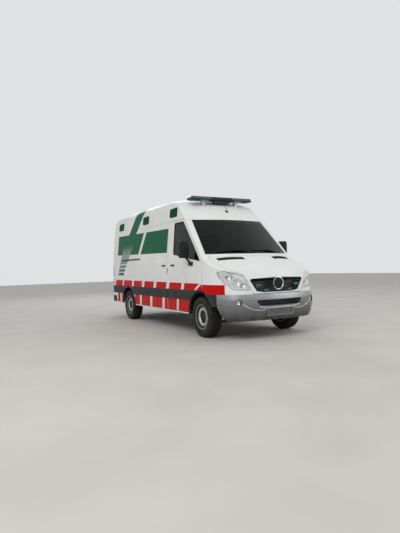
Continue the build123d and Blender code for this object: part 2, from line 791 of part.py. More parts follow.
def floor_pan(inner_form):
    deck = block((-1000, 1000), (930, TAIL - WALL - 8), (FLOOR_Z, FLOOR_TOP_Z)) & inner_form
    wall = block((-WALL_HALF, WALL_HALF), (905, 930), (FLOOR_Z, 1330)) & inner_form
    return cut(deck + wall, *housing_hole(FRONT_AXLE, HOUSING_X), *housing_hole(REAR_AXLE, REAR_HOUSING_X))


DECK_X = 680
DECK_S = (2468, 5845)
DECK_THICKNESS = 12


def load_deck():
    """Covered plywood floor of the load space, between the wheel housings."""
    return block((-DECK_X, DECK_X), DECK_S, (FLOOR_TOP_Z, FLOOR_TOP_Z + DECK_THICKNESS))


RAIL_X = (400, 470)
CROSSMEMBERS = (330, 2100, 3300, 4150, 5150, 5750)


def chassis_frame():
    rail = block(RAIL_X, (250, 5785), (RAIL_FOOT_Z, FLOOR_Z))
    frame = rail + mirrored(rail)
    for s in CROSSMEMBERS:
        frame = frame + block((-RAIL_X[0], RAIL_X[0]), (s - 35, s + 35), (RAIL_FOOT_Z, FLOOR_Z))
    for s in (3930, 5350):
        bracket = block((RAIL_X[1], 560), (s - 40, s + 40), (RAIL_FOOT_Z, FLOOR_Z))
        frame = frame + bracket + mirrored(bracket)
    return biggest(frame)


SHAFT_Z = 352
SHAFT_RADIUS = 36
AXLE_NOSE = REAR_AXLE - 230
GEARBOX_END = 1700
DIFF_RADIUS = 72


def propshaft():
    return rod((0, GEARBOX_END, SHAFT_Z), (0, AXLE_NOSE, SHAFT_Z), SHAFT_RADIUS)


def rear_axle():
    half = rod((0, REAR_AXLE, TYRE_RADIUS), (850, REAR_AXLE, TYRE_RADIUS), 44)
    hub = rod((840, REAR_AXLE, TYRE_RADIUS), (HUB_END, REAR_AXLE, TYRE_RADIUS), HUB_RADIUS)
    flange = hub + rod((838, REAR_AXLE, TYRE_RADIUS), (862, REAR_AXLE, TYRE_RADIUS), 150)
    case = Solid.make_sphere(DIFF_RADIUS).moved(Location(spot(0, REAR_AXLE, TYRE_RADIUS)))
    nose = rod((0, AXLE_NOSE, SHAFT_Z), (0, REAR_AXLE, SHAFT_Z), 52)
    return biggest(half + flange + mirrored(half + flange) + case + nose)


SPRING_X = (490, 560)


def leaf_spring():
    eye_z = RAIL_FOOT_Z
    low_z = TYRE_RADIUS + 44
    ends = [(3930, eye_z - 6), (REAR_AXLE, low_z + 12), (5350, eye_z - 6)]
    top = [(s, z) for s, z in ends]
    arc = Edge.make_three_point_arc(*[(SPRING_X[0], at(s), z) for s, z in top])
    thick = 12
    under = Edge.make_three_point_arc(*[(SPRING_X[0], at(s), z - thick) for s, z in top])
    sides = [Edge.make_line(arc @ 0, under @ 0), Edge.make_line(arc @ 1, under @ 1)]
    leaf = Solid.extrude(Face(Wire([arc, under] + sides)), Vector(SPRING_X[1] - SPRING_X[0], 0, 0))
    eyes = [rod((SPRING_X[0], s, eye_z - 14), (SPRING_X[1], s, eye_z - 14), 14) for s in (3930, 5350)]
    return biggest(leaf + eyes[0] + eyes[1])


def powertrain():
    engine = block((-290, 290), (372, 900), (RAIL_FOOT_Z - 60, 1000), edge=30)
    bell = block((-150, 150), (860, 1140), (432, 536))
    gearbox = block((-140, 140), (1110, GEARBOX_END), (300, 536))
    mount = block((280, RAIL_X[0]), (600, 680), (450, 510))
    return biggest(engine + bell + gearbox + mount + mirrored(mount))


def radiator():
    return block((-440, 440), (205, 250), (RAIL_FOOT_Z, 950))


def exhaust():
    x, z = -250, 350
    pipe = rod((x, 1300, z), (x, 4300, z), 30)
    box = rod((x, 2650, z), (x, 3250, z), 74)
    hangers = [rod((x, s, z), (x, s, RAIL_FOOT_Z), 8) for s in (2100, 3300, 4150)]
    return biggest(pipe + box + hangers[0] + hangers[1] + hangers[2])


def fuel_tank():
    return block((500, 860), (2350, 3230), (325, FLOOR_Z))


# Cab inside

STEER_CENTRE = (450, 1440, 1290)
STEER_AXIS = (0, 0.6, 0.8)
RING_RADIUS = 190


def dashboard(inner_form):
    points = [(735, 1368), (735, 1402), (1230, 1402), (1320, 1340), (1320, 1180), (1250, 1040), (930, 1040),
              (930, 1330), (904, 1330), (904, 1368)]
    shape = side_cut(points, -WALL_HALF, WALL_HALF) & inner_form
    end = spot(*STEER_CENTRE) - Vector(*STEER_AXIS) * 30
    column = Solid.make_cylinder(32, 190, Plane(origin=end, z_dir=-Vector(*STEER_AXIS)))
    return biggest(shape + column)


def steering_wheel():
    plane = Plane(origin=spot(*STEER_CENTRE), x_dir=(1, 0, 0), z_dir=STEER_AXIS)
    ring = Solid.make_torus(RING_RADIUS, 15)
    hub = Solid.make_cylinder(55, 50).moved(Location((0, 0, -29.5)))
    wheel = ring + hub
    for turn in (0, 120, 240):
        spoke = Solid.make_box(RING_RADIUS, 34, 14).moved(Location((0, -17, -7)))
        wheel = wheel + spoke.rotate(Axis.Z, turn + 30)
    return plane.from_local_coords(biggest(wheel))


# Foot and top of the seat cushions
SEAT_Z = (800, 930)


def seat(x0, x1):
    base = block((x0 + 40, x1 - 40), (1560, 1980), (FLOOR_TOP_Z, SEAT_Z[0]))
    cushion = block((x0, x1), (1500, 2040), SEAT_Z, edge=35)
    back = side_cut([(1990, 860), (2090, 860), (2230, 1500), (2150, 1520)], x0, x1)
    middle = (x0 + x1) / 2
    rest = block((middle - 120, middle + 120), (2130, 2230), (1500, 1700), edge=30)
    return biggest(base + cushion + fillet(back.edges(), 30) + rest)


def seats():
    return [seat(190, 700), seat(-800, -330), seat(-320, 150)]


def bulkhead(inner_form):
    wall = block((-1000, 1000), (BULKHEAD, BULKHEAD + 30), (FLOOR_TOP_Z, 2700)) & inner_form
    window = front_cut([(-330, 1420), (330, 1420), (330, 1900), (-330, 1900)], 2400, 2500, radius=40)
    return cut(wall, window)


# Write the parts

def main():
    os.makedirs("parts", exist_ok=True)
    outer = van_form(0, SILL_Z)
    inner = van_form(WALL, SILL_Z - 200)
    glass = van_form(GLASS_INSET, SILL_Z) - van_form(GLASS_INSET + GLASS, SILL_Z - 200)
    shell = outer - inner
    half = shell & block((0, 1100), (-100, LENGTH + 100), (0, 2900))
    write_body(shell, half, glass, outer)
    write_doors(half, glass)
    write_underside(inner)
    write_wheels()
    write_cab(inner)


def write_body(shell, half, glass, outer):
    side = side_panel(half)
    write("front_wings", pair(front_wing(half)))
    write("side_panel_left", side)
    write("side_panel_right", cut(mirrored(side), sliding_door_zone()))
    write("sliding_door", biggest(mirrored(side) & sliding_door_zone(-HAIRLINE)))
    write("roof_panel", biggest(shell & roof_zone(-HAIRLINE)))
    write("bonnet", bonnet(shell))
    write("bonnet_inlets", pair(bonnet_inlet()))
    write("cowl", cowl(shell))
    write("grille", grille())
    write("grille_lamps", grille_lamps(outer))
    write("windscreen", biggest(glass & screen_zone()))
    write("front_bumper", front_bumper())
    write("intake_grille", intake_grille())
    write("rear_bumper", rear_bumper())
    write("front_lamps", pair(headlamp_lens(half)), pair(fog_lamp()))
    write("lamp_housings", pair(lamp_housing()))
    write("tail_lamps", pair(biggest(half & tail_lamp_zone())))
    write("side_lamps", side_lamps())
    write("side_strips", side_strips(), pair(arch_trim(half)))
    write("door_rail", door_rail())
    write("light_bar", light_bar(outer))
    write("light_bar_lenses", pair(light_bar_lens()))
    write("antenna", antenna(outer))


def write_doors(half, glass):
    door = front_door(half)
    pane = biggest(glass & side_window_zone())
    rear = rear_door(half)
    rear_pane = biggest(glass & rear_window_zone())
    left = {"door": door, "door_glass": pane, "mirror": mirror(), "door_trim": Compound(children=door_trim()),
            "rear_door": rear, "rear_glass": rear_pane}
    for name, shape in left.items():
        write(name + "_left", shape)
        write(name + "_right", mirrored(shape))


def write_underside(inner):
    housings = [housing(FRONT_AXLE, HOUSING_X, inner), housing(REAR_AXLE, REAR_HOUSING_X, inner)]
    write("floor_pan", floor_pan(inner))
    write("load_deck", load_deck())
    write("wheel_housings", [pair(one) for one in housings])
    write("chassis_frame", chassis_frame())
    write("front_subframe", front_subframe())
    write("rear_axle", rear_axle())
    write("leaf_springs", pair(leaf_spring()))
    write("powertrain", powertrain(), propshaft())
    write("radiator", radiator())
    write("exhaust", exhaust())
    write("fuel_tank", fuel_tank())


def write_wheels():
    tyre = tyre_solid()
    rim = rim_solid()
    for end, s in (("front", FRONT_AXLE), ("rear", REAR_AXLE)):
        for side, x in (("left", WHEEL_X), ("right", -WHEEL_X)):
            write(f"tyre_{end}_{side}", place_wheel(tyre, x, s))
            write(f"rim_{end}_{side}", place_wheel(rim, x, s))
    write("knuckle_left", knuckle())
    write("knuckle_right", mirrored(knuckle()))


def write_cab(inner):
    write("bulkhead", bulkhead(inner))
    write("dashboard", dashboard(inner))
    write("steering_wheel", steering_wheel())
    write("seats", seats())


if __name__ == "__main__":
    main()
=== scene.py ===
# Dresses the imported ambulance: camera and light, finishes with the livery films, and the fine pieces that
# the solids leave out. Places are in millimetres, x from the middle, s back from the front face and
# z up from the ground, as in the part's source; spot() turns them into the row's metres.
import math

import bmesh
import bpy
from mathutils import Matrix, Vector


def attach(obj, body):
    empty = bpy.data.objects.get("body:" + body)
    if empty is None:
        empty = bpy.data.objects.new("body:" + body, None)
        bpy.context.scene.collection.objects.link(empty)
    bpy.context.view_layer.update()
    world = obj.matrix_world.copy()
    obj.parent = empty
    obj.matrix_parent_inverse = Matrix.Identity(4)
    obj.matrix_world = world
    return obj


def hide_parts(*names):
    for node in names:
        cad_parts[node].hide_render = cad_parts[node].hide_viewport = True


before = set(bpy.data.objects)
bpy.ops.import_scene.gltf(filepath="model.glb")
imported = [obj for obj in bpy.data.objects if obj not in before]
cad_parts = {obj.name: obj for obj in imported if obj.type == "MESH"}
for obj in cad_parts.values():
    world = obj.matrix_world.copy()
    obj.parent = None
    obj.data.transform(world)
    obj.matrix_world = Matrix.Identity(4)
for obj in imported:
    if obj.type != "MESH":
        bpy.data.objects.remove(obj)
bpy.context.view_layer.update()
bpy.context.view_layer.update()

SIDES = {"left": 1, "right": -1}
FORWARD, BACK, UP = Vector((0, -1, 0)), Vector((0, 1, 0)), Vector((0, 0, 1))

HALF_LENGTH = 2955
AXLES = {"front": 1004, "rear": 4669}
WHEEL_X = 855
AXLE_Z = 356
DISC_FACE = 50
VENTS = 20
# s of the back doors' face, the height where it starts to lean forward, and its lean
TAIL, TAIL_BEND, TAIL_LEAN = 5905, 1000, 0.0178
# x and z of the body side: upright below SIDE_FOOT, then one plane to SIDE_BEND and another to SIDE_TOP
SIDE_FOOT = (986, 1150)
SIDE_BEND = (975, 1350)
SIDE_TOP = (862, 2440)
# s and z of the cab door's window, x and z of the back door's
DOOR_WINDOW = [(975, 1330), (1098, 1462), (1722, 2102), (2106, 2102), (2084, 1487), (1700, 1432)]
REAR_WINDOW = [(110, 1490), (800, 1490), (760, 2060), (110, 2060)]
# x, z and radius of a headlamp's bowls, the indicator's first
BOWLS = [(846, 1046, 62), (756, 962, 70), (655, 906, 52)]
FOG_LAMP = (756, 634)


def spot(x, s, z):
    return Vector((x, s - HALF_LENGTH, z)) / 1000


def along_side(low, high, z):
    """x at a height on the body side's plane through two of its points."""
    return low[0] + (high[0] - low[0]) * (z - low[1]) / (high[1] - low[1])


def tail_s(z):
    """s of the back doors' face, which leans forward a little."""
    return TAIL - max(0, z - TAIL_BEND) * TAIL_LEAN


def touch(node, start, toward=BACK):
    """Where a line from start first meets a CAD node."""
    hit, place, *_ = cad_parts[node].ray_cast(start, toward)
    if not hit:
        raise ValueError(f"nothing of {node} lies on that line")
    return place


# Finishes

def linear(colour):
    """An sRGB hex colour as linear RGBA."""
    parts = [int(colour[i:i + 2], 16) / 255 for i in (1, 3, 5)]
    return [p / 12.92 if p <= 0.04045 else ((p + 0.055) / 1.055) ** 2.4 for p in parts] + [1.0]


def add(owner, kind, links=None, out=0, **settings):
    """Adds a node with its settings to a material or world, and returns one of its outputs. Each socket takes
    the output that feeds it, a value or an sRGB hex colour."""
    tree = owner.node_tree
    node = tree.nodes.new("ShaderNode" + kind)
    for name, value in settings.items():
        setattr(node, name, value)
    for socket, value in (links or {}).items():
        if isinstance(value, bpy.types.NodeSocket):
            tree.links.new(value, node.inputs[socket])
        else:
            node.inputs[socket].default_value = linear(value) if isinstance(value, str) else value
    return node.outputs[out] if node.outputs else node


def new_finish(name):
    """An empty material, but for the node that its patterns' places come from."""
    mat = bpy.data.materials.new(name)
    mat.use_nodes = True
    mat.node_tree.nodes.clear()
    add(mat, "TexCoord")
    return mat


def place(mat, kind="Object"):
    """The place of a point on the piece, or another of the first node's outputs."""
    return mat.node_tree.nodes[0].outputs[kind]


def calc(mat, operation, *values):
    return add(mat, "Math", dict(enumerate(values)), operation=operation)


def product(mat, value, *others):
    for other in others:
        value = calc(mat, "MULTIPLY", value, other)
    return value


def sloped(mat, value, slope, rest):
    """Value times slope, plus the rest."""
    return calc(mat, "MULTIPLY_ADD", value, slope, rest)


def spread(mat, value, *limits):
    """Lays a value's range over another: low and high, then the new low and high if not 0 and 1."""
    return add(mat, "MapRange", dict(enumerate((value, *limits))))


def inside(mat, *edges):
    """1 where each value lies between its own low and high, else 0."""
    return product(mat, *[calc(mat, "COMPARE", value, (low + high) / 2, (high - low) / 2)
                          for value, low, high in edges])


def stepped(mat, value, spans, reach):
    """1 where the value lies within any of the spans, else 0."""
    socket = add(mat, "ValToRGB", {0: calc(mat, "DIVIDE", value, reach)})
    ramp = socket.node.color_ramp
    ramp.interpolation = "CONSTANT"
    ramp.elements.remove(ramp.elements[1])
    ramp.elements[0].color = (0, 0, 0, 1)
    for low, high in sorted(spans):
        ramp.elements.new(low / reach).color = (1, 1, 1, 1)
        ramp.elements.new(high / reach).color = (0, 0, 0, 1)
    return socket


def stations(mat):
    """|x|, s and z of a point in millimetres."""
    split = add(mat, "SeparateXYZ", {0: place(mat)}).node
    across = product(mat, calc(mat, "ABSOLUTE", split.outputs[0]), 1000)
    along = sloped(mat, split.outputs[1], 1000, HALF_LENGTH)
    return across, along, product(mat, split.outputs[2], 1000)


def round_axle(mat, along, up):
    """How far back and up a point lies from the nearer axle, and its radius round it."""
    back = calc(mat, "MINIMUM", *[calc(mat, "ABSOLUTE", calc(mat, "SUBTRACT", along, s)) for s in AXLES.values()])
    rise = calc(mat, "SUBTRACT", up, AXLE_Z)
    radius = add(mat, "VectorMath", {0: add(mat, "CombineXYZ", {0: back, 1: rise})}, out=1, operation="LENGTH")
    return back, rise, radius


def mixed(mat, share, first, second):
    """One colour over another by a share from 0 to 1."""
    return add(mat, "Mix", {0: share, 6: first, 7: second}, out=2, data_type="RGBA")


def grain(mat, size, detail=2.0, to=(0.0, 1.0)):
    """Noise with features of that size in millimetres, spread over a range."""
    noise = add(mat, "TexNoise", {"Vector": place(mat), "Scale": 1000 / size, "Detail": detail})
    return spread(mat, noise, 0.35, 0.65, *to)


def patchy(mat, first, second, size, detail=2.0):
    """Two colours that change over in patches of that size in millimetres."""
    return mixed(mat, grain(mat, size, detail), first, second)


def optic_cells(mat, scale):
    """0 to 1 from the middle to the edge of each square cell of a lamp lens."""
    cells = add(mat, "TexVoronoi", {"Vector": place(mat), "Scale": scale, "Randomness": 0.0}, distance="CHEBYCHEV")
    return spread(mat, cells, 0.1, 0.5)


def outward(mat):
    """1 on faces that look away from the middle of the van, so that films stay off its inner walls."""
    from_core = add(mat, "VectorMath", {0: place(mat), 1: (0, 0, -1.2)}, operation="ADD")
    flat = add(mat, "VectorMath", {0: from_core, 1: (1, 0, 1)}, operation="MULTIPLY")
    facing = add(mat, "VectorMath", {0: flat, 1: place(mat, "Normal")}, out=1, operation="DOT_PRODUCT")
    return calc(mat, "GREATER_THAN", facing, 0.12)


SOCKETS = {"metallic": "Metallic", "specular": "Specular IOR Level", "coat": "Coat Weight",
           "coat_rough": "Coat Roughness", "alpha": "Alpha", "ior": "IOR", "sheen": "Sheen Weight",
           "sheen_rough": "Sheen Roughness"}


def coated(mat, tone, rough, relief=None, **others):
    """Ends a finish in its one shader; relief is the bump's strength, its depth in metres and its height."""
    links = {"Base Color": tone, "Roughness": rough}
    links.update((SOCKETS[name], value) for name, value in others.items())
    if relief:
        links["Normal"] = add(mat, "Bump", dict(zip(("Strength", "Distance", "Height"), relief)))
    add(mat, "OutputMaterial", {"Surface": add(mat, "BsdfPrincipled", links)})
    return mat


# Livery, seen from either side. Blocks of the two red rows: s ranges, at the row's own middle height.
UPPER_BLOCKS = [(5059, 5601), (4392, 4981), (3738, 4264), (3045, 3591), (2380, 2912), (1712, 2253), (900, 1602)]
LOWER_BLOCKS = [(5290, 5485), (5040, 5190), (3906, 4230), (3267, 3790), (2618, 3172), (1944, 2508), (1300, 1852)]
NOSE_BLOCK = [(310, 2000)]
UPPER_LEAN, LOWER_LEAN, ARCH_LEAN = 0.35, 0.2, 1.75
UPPER_MIDDLE, LOWER_MIDDLE = 882, 520
# |x| of the blocks on the back doors
TAIL_BLOCKS = [(30, 290), (360, 620), (690, 880)]
RED, WORN_RED = "#d51313", "#c01211"
FILM_PATCH = 90
GREEN, STRIPE = "#085e40", "#e9e9e6"
# The green films and the white stripe across them: colour, how far s runs back per mm down, s range at z 0,
# how far z rises per mm back, z range at s 0
FILMS = [(GREEN, 0.0, (2390, 5528), 0.0205, (1486, 1976)), (GREEN, 0.98, (6265, 6768), 0.0, (2060, 2640)),
         (STRIPE, 0.59, (4796, 4942), 0.0, (1500, 2050))]
# z ranges of the slats that the band behind thins out into
FADE_SLATS = [(1078, 1146), (1166, 1238), (1256, 1334), (1350, 1432), (1446, 1830)]
# The side starts at this |x|, and the black lip of an arch reaches out to this radius
FILMS_FROM_X = 560
ARCH_LIP = 470
# More than any s, z or |x|
FAR = 9000
# The lean of that band's front and rear edge, and the s range that each leaves it at z 0
FADE_EDGES = ((0.835, 5899, FAR), (0.427, 3000, 5867))


def coach_enamel():
    """Sprayed and baked white enamel on steel panels, with vinyl films: glossy, faintly wavy, dusty at the foot."""
    mat = new_finish("coach_enamel_with_film")
    across, along, up = stations(mat)
    face = product(mat, outward(mat), calc(mat, "GREATER_THAN", across, FILMS_FROM_X))
    row_top = sloped(mat, along, -0.006, up)
    arch_line = sloped(mat, up, ARCH_LEAN, along)
    tone = patchy(mat, "#edeeec", "#e5e6e3", 700)
    # Cast vinyl, slightly faded in patches about a hand wide
    red = patchy(mat, RED, WORN_RED, FILM_PATCH, 3.0)
    for blocks, middle, lean, edges in (
            (UPPER_BLOCKS, UPPER_MIDDLE, UPPER_LEAN, ((row_top, 760, 932), (arch_line, 2650, FAR))),
            (LOWER_BLOCKS, LOWER_MIDDLE, LOWER_LEAN, ((up, 402, 640),)),
            (NOSE_BLOCK, 0, 0.0, ((up, 750, 922), (arch_line, 0, 2566)))):
        slanted = sloped(mat, up, lean, along)
        row = stepped(mat, slanted, [(a + lean * middle, b + lean * middle) for a, b in blocks], 7000)
        tone = mixed(mat, product(mat, row, inside(mat, *edges), face), tone, red)
    for colour, lean, s, rise, z in FILMS:
        edges = (sloped(mat, up, lean, along), *s), (sloped(mat, along, -rise, up), *z)
        tone = mixed(mat, product(mat, inside(mat, *edges), face), tone, colour)
    radius = round_axle(mat, along, up)[2]
    tone = mixed(mat, inside(mat, (radius, 380, ARCH_LIP), (up, 0, 835), (across, 700, 1000)), tone, "#232425")
    tone = fade_slats(mat, along, up, face, tone)
    row = product(mat, stepped(mat, across, TAIL_BLOCKS, 1200), inside(mat, (along, 5880, 5960), (up, 818, 946)))
    tone = mixed(mat, row, tone, red)
    dust_and_shade = product(mat, spread(mat, up, 380, 760, 0.22, 0.015), grain(mat, 60, 6.0))
    tone = mixed(mat, dust_and_shade, tone, "#8b8377")
    waves = add(mat, "TexNoise", {"Vector": place(mat), "Scale": 2.6, "Detail": 0.0})
    crease = inside(mat, (up, 2196, 2203), (along, 2450, 5800))
    height = sloped(mat, crease, -0.2, waves)
    return coated(mat, tone, sloped(mat, dust_and_shade, 1.4, 0.24), (0.35, 0.012, height), specular=0.03,
                  coat=0.02, coat_rough=0.05)


def fade_slats(mat, along, up, face, tone):
    """The band behind the green panel, which thins out downwards into level slats."""
    edges = [(sloped(mat, up, lean, along), low, high) for lean, low, high in FADE_EDGES]
    band = product(mat, inside(mat, *edges), stepped(mat, up, FADE_SLATS, 3000), face,
                   spread(mat, up, 1560, 1830, 1.0, 0.0))
    return mixed(mat, band, tone, mixed(mat, spread(mat, up, 1150, 1450), "#2b7a70", "#94a097"))


def silver_lacquer():
    """Moulded polypropylene under silver metallic lacquer: fine flake, satin, with a painted highlight along the top
    and darker low down, partly scuffs and dust and partly painted shade.
    """
    mat = new_finish("silver_lacquered_polypropylene")
    _, along, up = stations(mat)
    tone = patchy(mat, "#7b7d7f", "#868889", 1.2, 0.0)
    # Lighter band along the top: a painted highlight
    tone = mixed(mat, spread(mat, up, 660, 735), tone, "#9c9e9f")
    # Darker low down: partly dust, partly painted shade from the ground
    dust_and_shade = product(mat, spread(mat, up, 360, 560, 0.92, 0.05), grain(mat, 120, 5.0, (0.7, 1.0)))
    tone = mixed(mat, dust_and_shade, tone, "#3b3734")
    tone = mixed(mat, inside(mat, (up, 597, 602), (along, 318, 460)), tone, "#26272a")
    return coated(mat, tone, grain(mat, 160, 3.0, (0.28, 0.36)), (0.1, 0.0003, grain(mat, 2, 1.0)), metallic=0.5,
                  specular=0.3, coat=0.15, coat_rough=0.12)


def moulded_plastic(name, colour, faded, size, rough, depth=0.0004):
    """Injection-moulded plastic with an etched leather-like grain, bleached in patches by the sun."""
    mat = new_finish(name)
    cells = add(mat, "TexVoronoi", {"Vector": place(mat), "Scale": 1000 / size})
    return coated(mat, patchy(mat, colour, faded, 130, 5.0), grain(mat, 30, 2.0, (rough - 0.08, rough + 0.08)),
                  (0.5, depth, cells), specular=0.25)


def bar_plastic():
    """Black moulded light-bar housing on cast aluminium brackets."""
    mat = new_finish("black_bar_housing_on_aluminium_brackets")
    across, _, up = stations(mat)
    bracket = inside(mat, (across, 300, 460), (up, 2300, 2538))
    tone = mixed(mat, bracket, patchy(mat, "#17191b", "#23262a", 60, 4.0), "#b4b6b6")
    return coated(mat, tone, grain(mat, 40, to=(0.38, 0.5)), (0.3, 0.0005, grain(mat, 5, 2.0)),
                  metallic=product(mat, bracket, 0.6), specular=0.3)


def screen_glass():
    """Laminated tinted screen with a printed black border: dark, smooth, with faint patchy haze."""
    mat = new_finish("laminated_tinted_glass")
    across, _, up = stations(mat)
    edge = sloped(mat, up, 0.141, across)
    printed = calc(mat, "SUBTRACT", 1.0, inside(mat, (edge, -10, 1044), (up, 1500, 2068)))
    return coated(mat, mixed(mat, printed, "#10140f", "#050505"), grain(mat, 240, 5.0, (0.02, 0.07)),
                  alpha=sloped(mat, printed, 0.38, 0.6), ior=1.52, specular=0.2)


def pane_glass():
    """Toughened privacy glass: nearly black, with faint smears."""
    mat = new_finish("toughened_tinted_glass")
    return coated(mat, patchy(mat, "#0c100e", "#111612", 400), grain(mat, 180, 4.0, (0.02, 0.08)), alpha=0.78,
                  ior=1.52, specular=0.2)


def clear_polycarbonate():
    """Clear moulded lamp lens with fine upright flutes and a slight haze from age."""
    mat = new_finish("clear_polycarbonate")
    split = add(mat, "SeparateXYZ", {0: place(mat)}).node
    flutes = calc(mat, "SINE", product(mat, split.outputs[0], 700))
    return coated(mat, "#dfe3e4", grain(mat, 25, 4.0, (0.03, 0.12)), (0.12, 0.0006, flutes), alpha=0.1, ior=1.58,
                  coat=0.3, coat_rough=0.03)


def coloured_lens(name, colour, deep, size):
    """Coloured acrylic lamp lens: glossy outside, with square optic cells that lie deeper in the colour."""
    mat = new_finish(name)
    share = optic_cells(mat, 1000 / size)
    return coated(mat, mixed(mat, share, colour, deep), grain(mat, 40, to=(0.08, 0.2)), (0.25, 0.001, share),
                  coat=0.8, coat_rough=0.04)


def side_lamp_lens():
    """Green acrylic lens on a dark rubber base that shows as a rim against the body."""
    mat = new_finish("green_acrylic_on_rubber_base")
    across, _, up = stations(mat)
    base = 9
    slope = (SIDE_TOP[0] - SIDE_BEND[0]) / (SIDE_TOP[1] - SIDE_BEND[1])
    proud = sloped(mat, up, -slope, across)
    lens = calc(mat, "GREATER_THAN", proud, SIDE_BEND[0] - slope * SIDE_BEND[1] + base)
    share = optic_cells(mat, 45)
    tone = mixed(mat, lens, "#101614", mixed(mat, share, "#0a5744", "#053a2e"))
    return coated(mat, tone, sloped(mat, lens, -0.42, 0.55), (0.25, 0.001, share), specular=0.01,
                  coat=0.02, coat_rough=0.05)


def tail_lens():
    """Tail lamp in one acrylic cover: amber at the top, then red, clear for reversing, and red again."""
    mat = new_finish("banded_acrylic_tail_lens")
    up = stations(mat)[2]
    tone = "#8c1210"
    for low, high, colour in ((1180, 1290, "#c9671a"), (980, 1070, "#c9c6c2")):
        tone = mixed(mat, inside(mat, (up, low, high)), tone, colour)
    share = optic_cells(mat, 80)
    tone = mixed(mat, product(mat, share, 0.35), tone, "#3a0b0a")
    return coated(mat, tone, 0.14, (0.2, 0.001, share), coat=0.8, coat_rough=0.04)


def reflector():
    """Vacuum-aluminised lamp bowl: mirror bright, faintly stippled."""
    mat = new_finish("aluminised_reflector")
    return coated(mat, patchy(mat, "#eceeef", "#dfe2e3", 50), grain(mat, 20, to=(0.1, 0.2)),
                  (0.3, 0.0008, grain(mat, 9, 1.0)), metallic=0.7)


def tyre_rubber():
    """Vulcanised rubber: dull black, greyed and brown with road dust on tread and shoulder."""
    mat = new_finish("vulcanised_rubber")
    return coated(mat, patchy(mat, "#181818", "#2c2926", 35, 6.0), grain(mat, 50, 3.0, (0.62, 0.86)),
                  (0.5, 0.0006, grain(mat, 4, 3.0)), specular=0.3)


# Radii between which a wheel's vents, then its well and its flange lie dark, and how dark those two are: dirt and
# painted shade in the vents, painted shade on the well and the flange
VENT_BAND = (145, 190)
DARK_BANDS = (((184, 203), 0.93), ((203, 240), 0.62))


def wheel_enamel():
    """Pressed steel wheel in silver enamel: chipped, darker round the hub, with dirt and painted shade in the vents
    and painted shade on the well and the flange.
    """
    mat = new_finish("silver_enamelled_steel")
    back, rise, radius = round_axle(mat, *stations(mat)[1:])
    tone = patchy(mat, "#d8dadb", "#bcbebd", 18, 5.0)
    hub = product(mat, spread(mat, radius, 110, 120, 1.0, 0.0), grain(mat, 25, 5.0, (0.94, 1.0)))
    tone = mixed(mat, hub, tone, "#191715")
    turn = product(mat, calc(mat, "ARCTAN2", back, rise), VENTS)
    vents = calc(mat, "GREATER_THAN", calc(mat, "COSINE", turn), -0.25)
    # Dark in the vents: partly dirt, partly painted shade
    dark = product(mat, vents, inside(mat, (radius, *VENT_BAND)))
    # Dark well and flange: painted shade
    for band, share in DARK_BANDS:
        dark = calc(mat, "MAXIMUM", dark, product(mat, inside(mat, (radius, *band)), share))
    tone = mixed(mat, product(mat, dark, grain(mat, 14, 5.0, (0.88, 1.0))), tone, "#151413")
    return coated(mat, tone, grain(mat, 22, 3.0, (0.34, 0.5)), (0.3, 0.0008, grain(mat, 8, 3.0)), metallic=0.4,
                  specular=0.3)


def worn_metal(name, colour, worn, size, metallic, rough, depth):
    """Cast, pressed or drawn metal whose skin changes tone in patches of that size."""
    mat = new_finish(name)
    return coated(mat, patchy(mat, colour, worn, size, 6.0), grain(mat, size, 3.0, (rough - 0.1, rough + 0.1)),
                  (0.6, depth, grain(mat, size / 8, 4.0)), metallic=metallic)


def woven_cloth():
    """Flat-woven seat cloth: warp and weft drawn 4 mm apart, coarser than real, so that they show."""
    mat = new_finish("woven_polyester_seat_cloth")
    weave = product(mat, *[add(mat, "TexWave", {"Vector": place(mat), "Scale": 80.0, "Distortion": 0.4},
                               bands_direction=way) for way in ("X", "DIAGONAL")])
    tone = mixed(mat, grain(mat, 120, 4.0, (0.0, 0.3)), mixed(mat, weave, "#1d2126", "#353b43"), "#4b4a47")
    return coated(mat, tone, 0.9, (0.6, 0.0012, weave), sheen=0.3, sheen_rough=0.5)


def deck_vinyl():
    """Hard-wearing vinyl floor sheet with a fine stud pattern and scuffs."""
    mat = new_finish("studded_vinyl_sheet")
    studs = add(mat, "TexVoronoi", {"Vector": place(mat), "Scale": 1000 / 22, "Randomness": 0.0})
    return coated(mat, patchy(mat, "#4c5052", "#62625e", 150, 6.0), grain(mat, 90, to=(0.45, 0.7)),
                  (0.5, 0.001, spread(mat, studs, 0.2, 0.3, 1.0, 0.0)))


def pale_screed():
    """Smooth pale floor, matt, with the faintest mottling."""
    mat = new_finish("pale_screed")
    return coated(mat, patchy(mat, "#cfccc6", "#c8c5bf", 900, 4.0), 0.85)


ENAMEL = coach_enamel()
REFLECTOR = reflector()
RUBBER = tyre_rubber()
CLOTH = woven_cloth()
BLACK = moulded_plastic("black_grained_polypropylene", "#0f1011", "#1a1b1c", 3.0, 0.5)
CAB = moulded_plastic("soft_grained_abs", "#2a2c2f", "#34363a", 2.5, 0.62)
SEAL = moulded_plastic("extruded_rubber_seal", "#0f0f10", "#1a1a1a", 6.0, 0.7)
PLATE = moulded_plastic("pressed_plate_sheet", "#58595a", "#6a6a69", 12.0, 0.45, 0.0002)
PLATE_FRAME = moulded_plastic("grey_plate_holder", "#949595", "#7c7d7d", 8.0, 0.4, 0.0002)
AMBER_LENS = coloured_lens("amber_acrylic_lens", "#d0741c", "#8a430d", 8)
